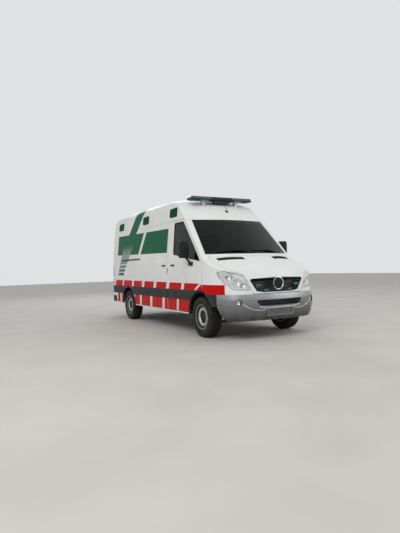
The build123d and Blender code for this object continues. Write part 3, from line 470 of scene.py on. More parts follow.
# A lighter copy of the bumper's silver lacquer: a painted highlight on the intake lip and the bumper folds
SILVER_HIGHLIGHT = worn_metal("silver_lacquer_painted_highlight", "#b3b5b6", "#9fa1a2", 60, 0.5, 0.34, 0.0001)
ZINC = worn_metal("zinc_plated_steel", "#8f9192", "#6a655c", 12, 0.9, 0.38, 0.0003)
BOLT_STEEL = worn_metal("dusty_phosphated_steel", "#3a3735", "#292624", 12, 0.4, 0.55, 0.0003)
MIRROR = worn_metal("silvered_glass", "#cfd3d4", "#c6cacb", 200, 1.0, 0.12, 0.00001)
CHROME = worn_metal("chromed_plastic", "#c9cccd", "#b3b6b7", 40, 1.0, 0.2, 0.0001)
# CAD nodes of each finish; a name without its side stands for both
NODES = (
    (ENAMEL, "bonnet bulkhead cowl door front_wings rear_door roof_panel side_panel sliding_door"),
    (silver_lacquer(), "front_bumper"), (screen_glass(), "windscreen"), (pane_glass(), "door_glass rear_glass"),
    (moulded_plastic("grained_polypropylene", "#252627", "#333434", 3.0, 0.56),
     "door_rail door_trim fuel_tank rear_bumper side_strips"),
    (BLACK, "antenna bonnet_inlets grille intake_grille mirror wheel_housings"),
    (CAB, "dashboard steering_wheel"), (CLOTH, "seats"), (deck_vinyl(), "load_deck"),
    (clear_polycarbonate(), "front_lamps"), (REFLECTOR, "lamp_housings"),
    (side_lamp_lens(), "side_lamps"), (tail_lens(), "tail_lamps"), (bar_plastic(), "light_bar"),
    (coloured_lens("teal_acrylic_lens", "#21907e", "#0f5a50", 18), "grille_lamps"),
    (coloured_lens("blue_green_polycarbonate", "#225765", "#11323f", 30), "light_bar_lenses"),
    (RUBBER, "tyre_front tyre_rear"), (wheel_enamel(), "rim_front rim_rear"),
    (worn_metal("black_waxed_steel", "#1d1d1d", "#3b342c", 90, 0.2, 0.62, 0.0008),
     "chassis_frame floor_pan front_subframe leaf_springs"),
    (worn_metal("surface_rusted_cast_iron", "#403c39", "#574236", 60, 0.4, 0.72, 0.0015),
     "knuckle powertrain rear_axle"),
    (worn_metal("mill_aluminium", "#8e9092", "#777a7c", 50, 0.9, 0.45, 0.0004), "radiator"),
    (worn_metal("aluminised_steel_pipe", "#7b7670", "#5f5143", 70, 0.7, 0.5, 0.0006), "exhaust"),
)
FINISHES = {node: finish for finish, nodes in NODES for node in nodes.split()}

for node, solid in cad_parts.items():
    solid.data.materials.clear()
    solid.data.materials.append(FINISHES[node.removesuffix("_left").removesuffix("_right")])


# Shapes

def linked(name, data):
    """A new object in the scene, at the origin."""
    one = bpy.data.objects.new(name, data)
    bpy.context.scene.collection.objects.link(one)
    return one


def meshed(name, bm):
    mesh = bpy.data.meshes.new(name)
    bm.to_mesh(mesh)
    bm.free()
    return mesh


def made(name, bm, finish, body="body", slot="dark_plastic", crease=32):
    """Closes a bmesh into a smooth-shaded piece that rides on a body."""
    bmesh.ops.remove_doubles(bm, verts=bm.verts, dist=0.00001)
    bmesh.ops.recalc_face_normals(bm, faces=bm.faces)
    if bm.calc_volume(signed=True) < 0:
        bmesh.ops.reverse_faces(bm, faces=bm.faces)
    mesh = meshed(name, bm)
    mesh.materials.append(finish)
    mesh.shade_smooth()
    mesh.set_sharp_from_angle(angle=math.radians(crease))
    piece = linked(name, mesh)
    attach(piece, body)
    return piece


def rectangle(a, b):
    """Corners of the rectangle over two ranges, in turn."""
    return [(a[0], b[0]), (a[1], b[0]), (a[1], b[1]), (a[0], b[1])]


def extruded(bm, faces, step=None):
    """Extrudes faces as one region and returns its new vertices and faces."""
    grown = bmesh.ops.extrude_face_region(bm, geom=faces)["geom"]
    verts, tops = ([item for item in grown if isinstance(item, kind)]
                   for kind in (bmesh.types.BMVert, bmesh.types.BMFace))
    if step:
        bmesh.ops.translate(bm, vec=step, verts=verts)
    return verts, tops


def eased(bm, geom, offset, segments, affect="EDGES"):
    bmesh.ops.bevel(bm, geom=geom, offset=offset, offset_type="OFFSET", segments=segments, profile=0.5,
                    affect=affect, material=-1)


def inset(bm, faces, thickness, depth=0):
    bmesh.ops.inset_individual(bm, faces=faces, thickness=thickness, depth=depth)


def block(bm, width, length, height):
    """A cuboid round the origin, in millimetres."""
    bmesh.ops.create_cube(bm, size=1)
    bmesh.ops.scale(bm, vec=Vector((width, length, height)) / 1000, verts=bm.verts)


def plate(bm, corners, thickness, corner=0.0, edge=0.0):
    """A closed flat plate from its outline in metres, with rounded corners and eased edges."""
    face = bm.faces.new([bm.verts.new(place) for place in corners])
    if corner:
        eased(bm, list(face.verts), corner, 5, "VERTICES")
        face = max((f for f in bm.faces if not f.tag), key=lambda f: len(f.verts))
    before = set(bm.edges)
    extruded(bm, [face], thickness)
    if edge:
        rims = [e for e in bm.edges if e not in before or e in face.edges]
        eased(bm, [e for e in rims if e.calc_face_angle(0) > 1.0], edge, 2)
    for one in bm.faces:
        one.tag = True


def turned(bm, profile, centre, axis, steps):
    """Spins a profile of (radius, reach along the axis) in millimetres into a closed solid."""
    side = axis.orthogonal().normalized()
    verts = [bm.verts.new(centre + (side * r + axis * reach) / 1000) for r, reach in profile]
    edges = [bm.edges.new(pair) for pair in zip(verts, verts[1:])]
    bmesh.ops.spin(bm, geom=verts + edges, cent=centre, axis=axis, angle=math.tau, steps=steps, use_merge=True)


# Half of a tyre's section from the bead to the middle of the tread: x from its own middle, radius
HALF_TYRE = [(90, 203), (99, 213), (104, 229), (107, 238), (106, 244), (112, 258), (116.5, 282), (117, 300),
             (113, 322), (107, 336), (100, 345), (88, 351), (66, 354.4), (63, 347), (56, 347), (53, 355.3),
             (24, 356), (21, 348), (14, 348), (11, 356)]
TYRE_STEPS = 240
TREAD_FLOOR = 338
CHANNEL_DEPTH = 4.5
# Half-width of the middle rib, and the x ranges of the ribs beside it
CENTRE_RIB = 10
MIDDLE_RIB = (22, 55)
SHOULDER_RIB = (64, 101)


def road_tyre(end, side, sign):
    """A light-truck tyre with grooves round it, cross channels in the ribs and sidewall rings."""
    bm = bmesh.new()
    section = HALF_TYRE + [(-x, r) for x, r in reversed(HALF_TYRE)]
    ring = [bm.verts.new((x / 1000, 0, r / 1000)) for x, r in section]
    edges = [bm.edges.new((a, b)) for a, b in zip(ring, ring[1:] + ring[:1])]
    bmesh.ops.spin(bm, geom=ring + edges, cent=(0, 0, 0), axis=(1, 0, 0), angle=math.tau, steps=TYRE_STEPS,
                   use_merge=True)
    channels = [face for face in bm.faces if in_channel(face)]
    for vert in extruded(bm, channels)[0]:
        vert.co -= Vector((0, vert.co.y, vert.co.z)).normalized() * (CHANNEL_DEPTH / 1000)
    bmesh.ops.delete(bm, geom=channels, context="FACES")
    bmesh.ops.translate(bm, vec=spot(sign * WHEEL_X, AXLES[end], AXLE_Z), verts=bm.verts)
    tyre = made(f"road_tyre_{end}_{side}", bm, RUBBER, f"wheel_{end}_{side}", "tyre", 24)
    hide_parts(f"tyre_{end}_{side}")


def in_channel(face):
    """Whether a face of the tread lies in one of the cross channels, whose places alternate rib by rib."""
    middle = face.calc_center_median() * 1000
    x = abs(middle.x)
    if math.hypot(middle.y, middle.z) < TREAD_FLOOR:
        return False
    step = int((math.atan2(middle.y, middle.z) + math.tau) / math.tau * TYRE_STEPS) % TYRE_STEPS
    if SHOULDER_RIB[0] < x < SHOULDER_RIB[1]:
        return step % 5 == (0 if middle.x > 0 else 2)
    if MIDDLE_RIB[0] < x < MIDDLE_RIB[1]:
        return step % 5 == (1 if middle.x > 0 else 3)
    return x < CENTRE_RIB and step % 8 == 0


BOLTS = 6
BOLT_CIRCLE = 84
# Radius and reach of what is turned on a wheel
HUB_CAP = [(0, 10), (17, 9), (29, 6), (35, 2), (43, 1.5), (44, 0), (39, -1), (36, -9), (0, -9)]
WASHER = [(0, 4), (14, 4), (15, 0), (15, -1), (0, -1)]
BOLT_HEAD = [(0, 19), (8, 19), (11.5, 16), (11.5, 3), (0, 3)]
VALVE = [(0, 30), (3.5, 30), (4.5, 26), (5, 4), (7, 0), (0, 0)]


def wheel_fixings(end, side, sign):
    """Six hexagon bolts on washers, the domed hub cap and the valve."""
    bm = bmesh.new()
    axis = Vector((sign, 0, 0))
    face = spot(sign * (WHEEL_X + DISC_FACE), AXLES[end], AXLE_Z)
    turned(bm, HUB_CAP, face, axis, 40)
    for k in range(BOLTS):
        turn = math.tau * k / BOLTS
        seat = face + Vector((0, math.sin(turn), math.cos(turn))) * BOLT_CIRCLE / 1000
        turned(bm, WASHER, seat, axis, 20)
        turned(bm, BOLT_HEAD, seat, axis, 6)
    turned(bm, VALVE, face + Vector((sign * 0.004, 0.1, 0.148)), axis, 12)
    made(f"wheel_fixings_{end}_{side}", bm, BOLT_STEEL, f"wheel_{end}_{side}", "wheel_paint")


BULB_SHIELD = [(0, 34), (9, 32), (14, 26), (15, 12), (11, 2), (11, -3), (0, -3)]
COLLAR = [(0, 0), (5, 2), (6, 8), (3, 10), (0, 7), (0, 0)]
COLLAR_SHARE = 0.42


def lamp_insides(side, sign):
    """Bulb shields and bezel rings in the three bowls of a headlamp, the top one for the indicator."""
    shields, rings, amber = bmesh.new(), bmesh.new(), bmesh.new()
    for index, (x, z, radius) in enumerate(BOWLS):
        floor = touch("lamp_housings", spot(sign * x, 0, z))
        turned(shields if index else amber, BULB_SHIELD, floor, FORWARD, 24)
        turned(rings, [(radius * COLLAR_SHARE + r, reach) for r, reach in COLLAR], floor, FORWARD, 40)
    made(f"bulb_shields_{side}", shields, REFLECTOR, "body", "lamp_reflector")
    made(f"lamp_rings_{side}", rings, BLACK)
    made(f"indicator_bulb_{side}", amber, AMBER_LENS, "body", "clear_lamp")


SEAL_GROWTH = 1.006
# How far a seal starts inside the door's face, and its height from there
SEAL_SUNK, SEAL_HEIGHT = 6, 8


def seal_ring(name, outline, corner, width, lay, body):
    """A flat rubber frame over a pane's edge, drawn in its own plane and then laid on the door by lay()."""
    bm = bmesh.new()
    face = bm.faces.new([bm.verts.new((u / 1000, v / 1000, 0)) for u, v in outline])
    eased(bm, list(face.verts), corner / 1000, 6, "VERTICES")
    hole = bm.faces[:][0]
    middle = hole.calc_center_bounds()
    bmesh.ops.scale(bm, vec=Vector((SEAL_GROWTH, SEAL_GROWTH, 1)), verts=bm.verts,
                    space=Matrix.Translation(-middle))
    bmesh.ops.inset_region(bm, faces=[hole], thickness=width / 1000, use_even_offset=True, use_boundary=True)
    bmesh.ops.delete(bm, geom=[hole], context="FACES_ONLY")
    extruded(bm, bm.faces[:], UP * SEAL_HEIGHT / 1000)
    for vert in bm.verts:
        vert.co = lay(*(vert.co * 1000))
    made(name, bm, SEAL, body)


def window_seals(side, sign):
    """Seals round a cab door's and a back door's window."""
    seal_ring(f"door_window_seal_{side}", DOOR_WINDOW, 28, 15,
              lambda s, z, out: spot(sign * (along_side(SIDE_BEND, SIDE_TOP, z) - SEAL_SUNK + out), s, z),
              f"door_{side}")
    seal_ring(f"back_window_seal_{side}", REAR_WINDOW, 45, 18,
              lambda x, z, out: spot(sign * x, tail_s(z) - SEAL_SUNK + out, z), f"rear_door_{side}")


# x range and s of the mirrors' panes, and the z range of the main and of the wide-angle one
PANE_X, PANE_S, PANE_LEVELS = (1051, 1189), 1342, ((1506, 1689), (1411, 1498))


def mirror_panes(side, sign):
    """Main glass over a smaller wide-angle one, in the pocket of the case."""
    bm = bmesh.new()
    for levels in PANE_LEVELS:
        corners = [spot(sign * x, PANE_S, z) for x, z in rectangle(PANE_X, levels)]
        plate(bm, corners, Vector((0, 0.004, 0)), corner=0.022, edge=0.001)
    made(f"mirror_panes_{side}", bm, MIRROR, f"door_{side}", "tinted_glass")


# Seats: foam blocks swollen under their cloth, then sewn with channels. x range of each
SEATS = {"driver": (190, 700), "middle": (-320, 150), "outer": (-800, -330)}
PLUMP = 22
CHANNEL_SINK, CHANNEL_WIDTH = 0.011, 11
# Width, length and thickness of the foam forms, and the seat width that they are drawn for
CUSHION, BACKREST, HEADREST = (448, 500, 92), (432, 624, 72), (220, 172, 62)
DRAWN_WIDTH = 486
# s and z of the middle of each form, and of the plinth
CUSHION_AT, BACKREST_AT, HEADREST_AT, PLINTH_AT = (1768, 862), (2116, 1194), (2180, 1606), (1772, 688)


def as_shown(thing):
    """The mesh that an object's modifiers give."""
    return bpy.data.meshes.new_from_object(thing.evaluated_get(bpy.context.evaluated_depsgraph_get()))


def swollen(width, length, thickness):
    """Lets a rounded block swell as foam does under a cover, and returns its points' mesh."""
    bm = bmesh.new()
    block(bm, width, length, thickness)
    eased(bm, bm.edges[:], 0.034, 4)
    foam = linked("foam_form", meshed("foam_form", bm))
    remesh = foam.modifiers.new("even_faces", "REMESH")
    remesh.mode = "VOXEL"
    remesh.voxel_size = 0.012
    full = flat = as_shown(foam)
    foam.modifiers.clear()
    foam.data = flat
    cloth = foam.modifiers.new("cover", "CLOTH")
    cloth.settings.quality = 4
    cloth.settings.use_pressure = True
    cloth.settings.uniform_pressure_force = 4
    cloth.settings.effector_weights.gravity = 0
    for frame_number in range(1, 21):
        bpy.context.scene.frame_set(frame_number)
    full = as_shown(foam)
    bpy.context.scene.frame_set(1)
    for start, end in zip(flat.vertices, full.vertices):
        step = end.co - start.co
        if step.length > PLUMP / 1000:
            end.co = start.co + step.normalized() * PLUMP / 1000
    bpy.data.objects.remove(foam)
    return full


def sewn(form, channels, place, name):
    """Sinks channels, each the axis that it crosses and where, into a swollen pad's top and lays it in the cab."""
    mesh = form.copy()
    for vert in mesh.vertices:
        spots = vert.co * 1000
        if spots.z > 0:
            away = min(abs(spots[axis] - at) for axis, at in channels)
            vert.co.z -= CHANNEL_SINK * math.exp(-(away / CHANNEL_WIDTH) ** 2)
    mesh.transform(place)
    mesh.materials.clear()
    mesh.materials.append(CLOTH)
    mesh.shade_smooth()
    pad = linked(name, mesh)
    smooth = pad.modifiers.new("even_cloth", "SUBSURF")
    smooth.levels = smooth.render_levels = 1
    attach(pad, "body")
    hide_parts("seats")


def seat_plinth(name, x0, x1):
    """Moulded plastic box under a cushion, with a sunk panel on each side and a lever slot."""
    bm = bmesh.new()
    block(bm, x1 - x0 - 70, 430, 222)
    bmesh.ops.scale(bm, vec=Vector((1.08, 1.06, 1)), verts=[v for v in bm.verts if v.co.z < 0])
    sides = [f for f in bm.faces if abs(f.normal.z) < 0.5]
    inset(bm, sides, 0.032)
    inset(bm, sides, 0.006, -0.008)
    eased(bm, bm.edges[:], 0.003, 2)
    bmesh.ops.translate(bm, vec=spot((x0 + x1) / 2, *PLINTH_AT), verts=bm.verts)
    plinth = made(f"seat_plinth_{name}", bm, CAB, "body", "cab_plastic")
    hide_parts("seats")


def seat_posts(name, middle):
    """Two plated posts between backrest and headrest."""
    bm = bmesh.new()
    for x in (middle - 55, middle + 55):
        turned(bm, [(0, 0), (6, 0), (6, 110), (0, 110)], spot(x, 2172, 1470), Vector((0, 0.12, 0.99)).normalized(),
               16)
    posts = made(f"headrest_posts_{name}", bm, ZINC, "body", "bare_aluminium")
    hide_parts("seats")


def cab_seats():
    leaned, upright = (Matrix(((1, 0, 0), (0, a, -b), (0, b, a))).to_4x4() for a, b in ((0.225, 0.974), (0.1, 0.995)))
    tilt = Matrix.Rotation(math.radians(-2), 4, "X")
    cushion, back, rest = (swollen(*size) for size in (CUSHION, BACKREST, HEADREST))
    bolster = 0.3 * CUSHION[0]
    for name, (x0, x1) in SEATS.items():
        middle = (x0 + x1) / 2
        wide = Matrix.Diagonal(((x1 - x0) / DRAWN_WIDTH, 1, 1, 1))
        sewn(cushion, [(0, -bolster), (0, bolster), (1, -150), (1, 60)],
             Matrix.Translation(spot(middle, *CUSHION_AT)) @ tilt @ wide, f"seat_cushion_{name}")
        sewn(back, [(0, -bolster), (0, bolster), (1, -110), (1, 60), (1, 200)],
             Matrix.Translation(spot(middle, *BACKREST_AT)) @ leaned @ wide, f"seat_back_{name}")
        sewn(rest, [(1, -60)], Matrix.Translation(spot(middle, *HEADREST_AT)) @ upright, f"headrest_{name}")
        seat_plinth(name, x0, x1)
        seat_posts(name, middle)
    for form in (cushion, back, rest):
        bpy.data.meshes.remove(form)


# A bar's section, as shares of half its width and half its height
BAR_SECTION = [(1, -0.5), (0.6, -1), (-0.6, -1), (-1, -0.5), (-1, 0.5), (-0.6, 1), (0.6, 1), (1, 0.5)]


def bar_along(bm, places, width, height, up):
    """Carries a flat bar with cut corners from place to place; its flat side faces up."""
    outline = [(a * width / 2, b * height / 2) for a, b in BAR_SECTION]
    last = None
    for index, here in enumerate(places):
        ahead = (places[min(index + 1, len(places) - 1)] - places[max(index - 1, 0)]).normalized()
        side = up.cross(ahead).normalized()
        top = ahead.cross(side)
        ring = [here + (side * a + top * b) / 1000 for a, b in outline]
        if last is None:
            last = bm.faces.new([bm.verts.new(place) for place in ring])
            continue
        if index == 1:
            last = extruded(bm, [last])[1][0]
        else:
            last = bmesh.ops.extrude_discrete_faces(bm, faces=[last])["faces"][0]
        for vert, place in zip(last.verts, ring):
            vert.co = place


# Pivot x, then the x reach of the blade, for each of the two wipers
WIPERS = {"driver": (640, (590, -30)), "passenger": (-30, (-90, -700))}
WIPER_Z = 1462
BLADE_RISE = 34
WIPER_OUT = Vector((0, -0.55, 0.835))
WIPER_LIFT = Vector((0, -0.0075, 0.0115))


def on_screen(x, rise):
    """A place on the screen, above the cowl's line."""
    return touch("windscreen", spot(x, 0, WIPER_Z + rise - 0.00004 * x * x))


def wiper(name, pivot, reach):
    """A rubber blade in its holder, and the arched arm from its pivot."""
    lift = WIPER_LIFT
    blade, arm = bmesh.new(), bmesh.new()
    steps = [reach[0] + (reach[1] - reach[0]) * k / 24 for k in range(25)]
    bar_along(blade, [on_screen(x, BLADE_RISE) + lift * 0.35 for x in steps], 7, 8, WIPER_OUT)
    bar_along(blade, [on_screen(x, BLADE_RISE) + lift for x in steps[1:-1]], 15, 6, WIPER_OUT)
    start = on_screen(pivot, 2) + lift * 1.2
    end = on_screen((reach[0] + reach[1]) / 2, BLADE_RISE) + lift * 1.9
    bar_along(arm, [start.lerp(end, k / 8) + lift * math.sin(math.pi * k / 8) * 0.6 for k in range(9)], 15, 8,
              WIPER_OUT)
    turned(arm, [(0, 14), (9, 13), (13, 8), (14, 0), (14, -16), (0, -16)], start, WIPER_OUT, 24)
    made(f"wiper_blade_{name}", blade, SEAL)
    made(f"wiper_arm_{name}", arm, BLACK)


GRILLE_RING = [(90, 3), (94, 8), (101, 11), (108, 9), (111, 3), (111, -10), (90, -10), (90, 3)]
GRILLE_DISC = [(0, 4), (56, 2.5), (88, -1), (90, -3), (90, -10), (0, -10)]


def grille_disc():
    """A plain domed disc in a raised ring, in the middle of the grille."""
    centre = touch("grille", spot(0, -60, 925))
    for name, profile, finish, slot in (("ring", GRILLE_RING, CHROME, "bare_aluminium"),
                                        ("disc", GRILLE_DISC, BLACK, "dark_plastic")):
        bm = bmesh.new()
        turned(bm, profile, centre, FORWARD, 64)
        made(f"grille_{name}", bm, finish, "bonnet", slot)


# Name, width, height, how far back and front stand out, finish
PLATE_PARTS = (("holder", 540, 132, 0, 5, PLATE_FRAME), ("sheet", 512, 106, 4, 6.5, PLATE))
FRONT_PLATE_Z, REAR_PLATE_Z = 466, 1120


def number_plate(name, middle, out, body):
    """A blank pressed plate with a raised border, in its holder; out points away from the van."""
    out = out.normalized()
    across = UP.cross(out).normalized()
    up = out.cross(across)
    for part, width, height, back, front, finish in PLATE_PARTS:
        bm = bmesh.new()
        face = bm.faces.new([bm.verts.new(middle + (across * a + up * b + out * back) / 1000)
                             for a, b in rectangle((-width / 2, width / 2), (-height / 2, height / 2))])
        eased(bm, list(face.verts), 0.009, 5, "VERTICES")
        top = extruded(bm, bm.faces[:], out * (front - back) / 1000)[1]
        bmesh.ops.inset_region(bm, faces=top, thickness=0.005, depth=0.0, use_even_offset=True)
        bmesh.ops.inset_region(bm, faces=top, thickness=0.0015, depth=-0.0012, use_even_offset=True)
        made(f"{name}_plate_{part}", bm, finish, body)


def on_bumper(x, z, proud):
    return touch("front_bumper", spot(x, -80, z)) + FORWARD * proud / 1000


# Half-length of the lip, z of its middle and how far its ends sweep up
LIP_HALF, LIP_Z, LIP_SWEEP = 420, 534, 26


def intake_lip():
    """Silver lip that hangs under the intake and sweeps up at its ends, brighter than the bumper as a painted
    highlight.
    """
    bm = bmesh.new()
    steps = [-LIP_HALF + 2 * LIP_HALF * k / 34 for k in range(35)]
    bar_along(bm, [on_bumper(x, LIP_Z + LIP_SWEEP * (abs(x) / LIP_HALF) ** 5, 0) for x in steps], 26, 10, FORWARD)
    made("intake_lip", bm, SILVER_HIGHLIGHT, "body", "silver_bumper")


# The bowl's two shells and the bulb, each with its steps
FOG_BOWL = (([(48, -30), (40, -42), (24, -50), (0, -52)], 40),
            ([(0, -56), (26, -54), (44, -46), (50, -30), (48, -30)], 40),
            ([(0, -30), (8, -31), (12, -36), (12, -52), (0, -52)], 20))
FOG_BEZEL = [(51.5, -6), (52, 1), (58, 4), (64, 2), (66, -2), (64, -8), (51.5, -6)]


def fog_lamp_fittings(side, sign):
    """Bright bowl behind the fog lamp's lens, and the dark flared bezel round it."""
    x, z = FOG_LAMP
    lens = touch("front_lamps", spot(sign * x, -80, z))
    bowl, ring = bmesh.new(), bmesh.new()
    for profile, steps in FOG_BOWL:
        turned(bowl, profile, lens, FORWARD, steps)
    made(f"fog_lamp_bowl_{side}", bowl, REFLECTOR, "body", "lamp_reflector")
    turned(ring, FOG_BEZEL, lens, Vector((sign * 0.42, -0.9, 0)).normalized(), 48)
    made(f"fog_lamp_bezel_{side}", ring, BLACK)


# x and z of the fold's ridge, from under the fog lamp to the number plate
FOLD = [(706, 612), (676, 590), (642, 571), (600, 548), (555, 529), (510, 515), (463, 507), (412, 503), (361, 503),
        (318, 506), (284, 511)]


def bumper_fold(side, sign):
    """Raised ridge in the bumper that sweeps from the fog lamp down to the number plate, brighter than the bumper as
    a painted highlight along it.
    """
    bm = bmesh.new()
    bar_along(bm, [on_bumper(sign * x, z, -0.5) for x, z in FOLD], 15, 7, Vector((0, -1, 0.3)).normalized())
    made(f"bumper_fold_{side}", bm, SILVER_HIGHLIGHT, "body", "silver_bumper")


# x, then s of the front and back edge, at the inlet's inner and outer end, and how far the cover passes both
INLET_COVER = [(310, 566, 634), (760, 716, 784)]
COVER_LAP = 6


def inlet_cover(side, sign):
    """Black louvred cover that lies on the bonnet over the slot and reaches back from it."""
    bm = bmesh.new()
    bmesh.ops.create_grid(bm, x_segments=24, y_segments=5, size=0.5)
    (x0, low0, high0), (x1, low1, high1) = INLET_COVER
    for vert in bm.verts:
        along, across = vert.co.x + 0.5, vert.co.y + 0.5
        x = x0 + (x1 - x0) * along
        ends = [touch("bonnet", spot(sign * x, s, 1600), -UP)
                for s in (low0 + (low1 - low0) * along - COVER_LAP, high0 + (high1 - high0) * along + COVER_LAP)]
        vert.co = ends[0].lerp(ends[1], across) + Vector((0, -0.0005, 0.001))
    ribs = bm.faces[:]
    inset(bm, ribs, 0.002)
    bmesh.ops.translate(bm, vec=-UP * 0.004, verts=list({v for face in ribs for v in face.verts}))
    extruded(bm, bm.faces[:], UP * 0.002)
    made(f"inlet_cover_{side}", bm, BLACK, "bonnet")


def engine_cover():
    """Moulded cover with sunk fields between ribs, and the oil filler's cap."""
    bm = bmesh.new()
    block(bm, 500, 430, 48)
    bmesh.ops.scale(bm, vec=Vector((0.9, 0.86, 1)), verts=[v for v in bm.verts if v.co.z > 0])
    lengthwise = [e for e in bm.edges if all(abs(e.verts[0].co[k] - e.verts[1].co[k]) < 0.01 for k in (0, 2))]
    bmesh.ops.subdivide_edges(bm, edges=lengthwise, cuts=7, use_grid_fill=True)
    fields = [f for f in bm.faces if f.normal.z > 0.5]
    inset(bm, fields, 0.007)
    inset(bm, fields, 0.003, -0.007)
    bmesh.ops.translate(bm, vec=spot(0, 640, 1023), verts=bm.verts)
    turned(bm, [(0, 30), (20, 30), (25, 27), (26, 22), (26, 0), (0, 0)], spot(150, 500, 1030), UP, 32)
    made("engine_cover", bm, BLACK)


def side_plate(name, side, s, z, proud, finish, *ride):
    """A small plate with rounded corners on the body side."""
    sign = SIDES[side]
    bm = bmesh.new()
    corners = [spot(sign * (along_side(SIDE_FOOT, SIDE_BEND, max(level, SIDE_FOOT[1])) - 0.5), station, level)
               for station, level in rectangle(s, z)]
    plate(bm, corners, Vector((sign * proud / 1000, 0, 0)), corner=min(s[1] - s[0], z[1] - z[0]) / 2600, edge=0.0008)
    made(f"{name}_{side}", bm, finish, *ride)


HINGE_LEVELS = (760, 1330, 2180)
# x of a back door's outer edge low down, and how far it leans in per mm above SIDE_BEND
BACK_EDGE, BACK_EDGE_LEAN = 884, 83 / 1065


def back_hinges(side, sign):
    """Three strap hinges on a back door, each with two screws."""
    for number, z in enumerate(HINGE_LEVELS, 1):
        bm = bmesh.new()
        edge = BACK_EDGE - max(0, z - SIDE_BEND[1]) * BACK_EDGE_LEAN
        corners = [spot(sign * x, tail_s(level) - 0.6, level)
                   for x, level in ((edge - 96, z - 26), (edge - 8, z - 34), (edge - 8, z + 34), (edge - 96, z + 26))]
        plate(bm, corners, Vector((0, 0.0046, 0)), corner=0.011, edge=0.0014)
        for x in (edge - 74, edge - 34):
            turned(bm, [(0, 6), (4.5, 5.6), (6, 4), (6, 0), (0, 0)], spot(sign * x, tail_s(z) - 1.5, z), BACK, 12)
        made(f"back_hinge_{side}_{number}", bm, ENAMEL, f"rear_door_{side}", "white_paint")


# Dish, then lever: x and z ranges, how far proud of the door it starts, thickness, corner and edge in metres
BACK_HANDLE = (((40, 96), (1082, 1212), -0.6, 0.002, 0.02, 0.0008),
               ((54, 82), (1094, 1200), 1, 0.0034, 0.012, 0.001))


def back_handle():
    """Black lever in a shallow dish beside the doors' meeting edge."""
    bm = bmesh.new()
    for x_range, z_range, proud, thickness, corner, edge in BACK_HANDLE:
        corners = [spot(-x, tail_s(1122) + proud, z) for x, z in rectangle(x_range, z_range)]
        plate(bm, corners, BACK * thickness, corner, edge)
    made("back_door_handle", bm, BLACK, "rear_door_right")


# Outline of the trim inside a cab door, s and z, its two faces' x, and what stands on it: s and z of the
# corners, how far it stands out, and its corner and edge in metres
CARD = [(1078, 915), (1230, 858), (1350, 778), (1450, 672), (1504, 560), (2284, 560), (2284, 1290), (1078, 1290)]
CARD_X = (946.5, 931)
PADS = ((rectangle((1480, 2090), (1000, 1064)), 46, 0.018, 0.007),
        (rectangle((1580, 2240), (590, 770)), 34, 0.018, 0.007))
INNER_HANDLE = ([(1330, 1148), (1450, 1156), (1450, 1186), (1330, 1180)], 12, 0.009, 0.003)


def door_card(side, sign):
    """Moulded trim inside a cab door, with an armrest, a pocket and the inner handle."""
    outer, inner = CARD_X
    card, handle = bmesh.new(), bmesh.new()
    plate(card, [spot(sign * outer, s, z) for s, z in CARD], Vector((sign * (inner - outer) / 1000, 0, 0)),
          edge=0.004)
    for bm, (outline, depth, corner, edge) in ((card, PADS[0]), (card, PADS[1]), (handle, INNER_HANDLE)):
        plate(bm, [spot(sign * (inner + 1), s, z) for s, z in outline], Vector((-sign * depth / 1000, 0, 0)), corner,
              edge)
    made(f"door_card_{side}", card, CAB, f"door_{side}", "cab_plastic")
    made(f"door_inner_handle_{side}", handle, BLACK, f"door_{side}", "cab_plastic")


for side, sign in SIDES.items():
    for end in AXLES:
        road_tyre(end, side, sign)
        wheel_fixings(end, side, sign)
    for piece in (lamp_insides, window_seals, mirror_panes, fog_lamp_fittings, bumper_fold, inlet_cover, door_card,
                  back_hinges):
        piece(side, sign)
    side_plate("lock_guard", side, (2316, 2342), (1130, 1226), 3, BLACK, f"door_{side}")
side_plate("fuel_flap", "left", (2396, 2556), (905, 1065), 2, ENAMEL, "body", "white_paint")
cab_seats()
for name, (pivot, reach) in WIPERS.items():
    wiper(name, pivot, reach)
grille_disc()
number_plate("front", on_bumper(0, FRONT_PLATE_Z, -1), Vector((0, -0.99, -0.14)), "body")
number_plate("rear", spot(-410, tail_s(REAR_PLATE_Z) - 0.6, REAR_PLATE_Z), Vector((0, 1, TAIL_LEAN)),
             "rear_door_right")
intake_lip()
engine_cover()
back_handle()


# Camera, light and floor

CAMERA_PLACE = (-4.667, -8.732, 1.208)
YAW, PITCH, ROLL = math.radians(28.65), math.radians(0.21), math.radians(-1.65)
FOCAL_PIXELS = 444
PHOTO_HEIGHT = 533
SENSOR = 36
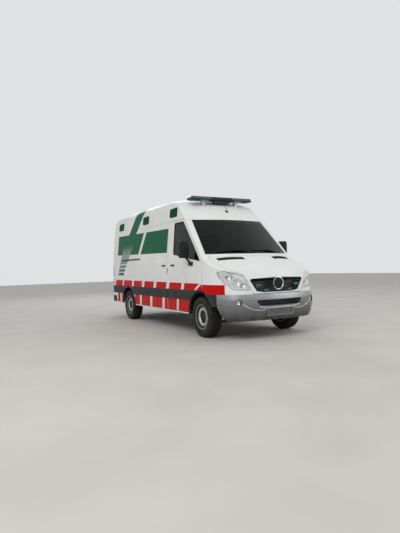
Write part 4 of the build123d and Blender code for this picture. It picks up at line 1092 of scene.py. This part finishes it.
# Place, size and power of the soft lamps, and how bright the background is as light and as it is seen
LAMPS = {"key": ((-9, -9, 9), (7, 5), 620), "fill": ((8, -9, 6), (6, 5), 240), "back": ((3, 11, 8), (7, 4), 260)}
SKY_LIGHT, SKY_SEEN = 0.62, 0.82
SEEN_RAYS = ("Is Camera Ray", "Is Glossy Ray", "Is Transmission Ray")


def photo_camera():
    """The camera as it was solved from the photo."""
    ahead = Vector((math.sin(YAW) * math.cos(PITCH), math.cos(YAW) * math.cos(PITCH), math.sin(PITCH)))
    right = ahead.cross(UP).normalized()
    up = right.cross(ahead)
    right, up = (math.cos(ROLL) * right + math.sin(ROLL) * up, math.cos(ROLL) * up - math.sin(ROLL) * right)
    data = bpy.data.cameras.new("photo_camera")
    data.sensor_width = SENSOR
    data.lens = SENSOR * FOCAL_PIXELS / PHOTO_HEIGHT
    data.clip_start, data.clip_end = 0.05, 200
    camera = linked("photo_camera", data)
    camera.matrix_world = Matrix.Translation(CAMERA_PLACE) @ Matrix((right, up, -ahead)).transposed().to_4x4()
    bpy.context.scene.camera = camera


def soft_lamp(name, place, size, power):
    """An area lamp that looks at the middle of the van."""
    data = bpy.data.lights.new(name, "AREA")
    data.shape = "RECTANGLE"
    data.size, data.size_y = size
    data.energy = power
    lamp = linked(name, data)
    place = Vector(place)
    lamp.matrix_world = Matrix.Translation(place) @ (UP - place).to_track_quat("-Z", "Y").to_matrix().to_4x4()


def studio():
    """Pale floor, even background and soft lamps."""
    scene = bpy.context.scene
    scene.view_settings.view_transform = "Standard"
    bm = bmesh.new()
    bmesh.ops.create_grid(bm, x_segments=4, y_segments=4, size=40)
    floor = linked("studio_floor", meshed("studio_floor", bm))
    floor.data.materials.append(pale_screed())
    world = scene.world = bpy.data.worlds.new("studio")
    world.use_nodes = True
    world.node_tree.nodes.clear()
    path = add(world, "LightPath").node
    seen = path.outputs[SEEN_RAYS[0]]
    for ray in SEEN_RAYS[1:]:
        seen = calc(world, "MAXIMUM", seen, path.outputs[ray])
    strength = spread(world, seen, 0, 1, SKY_LIGHT, SKY_SEEN)
    add(world, "OutputWorld", {"Surface": add(world, "Background", {"Color": "#f4f6f8", "Strength": strength})})
    for name, (place, size, power) in LAMPS.items():
        soft_lamp(name, place, size, power)


photo_camera()
studio()
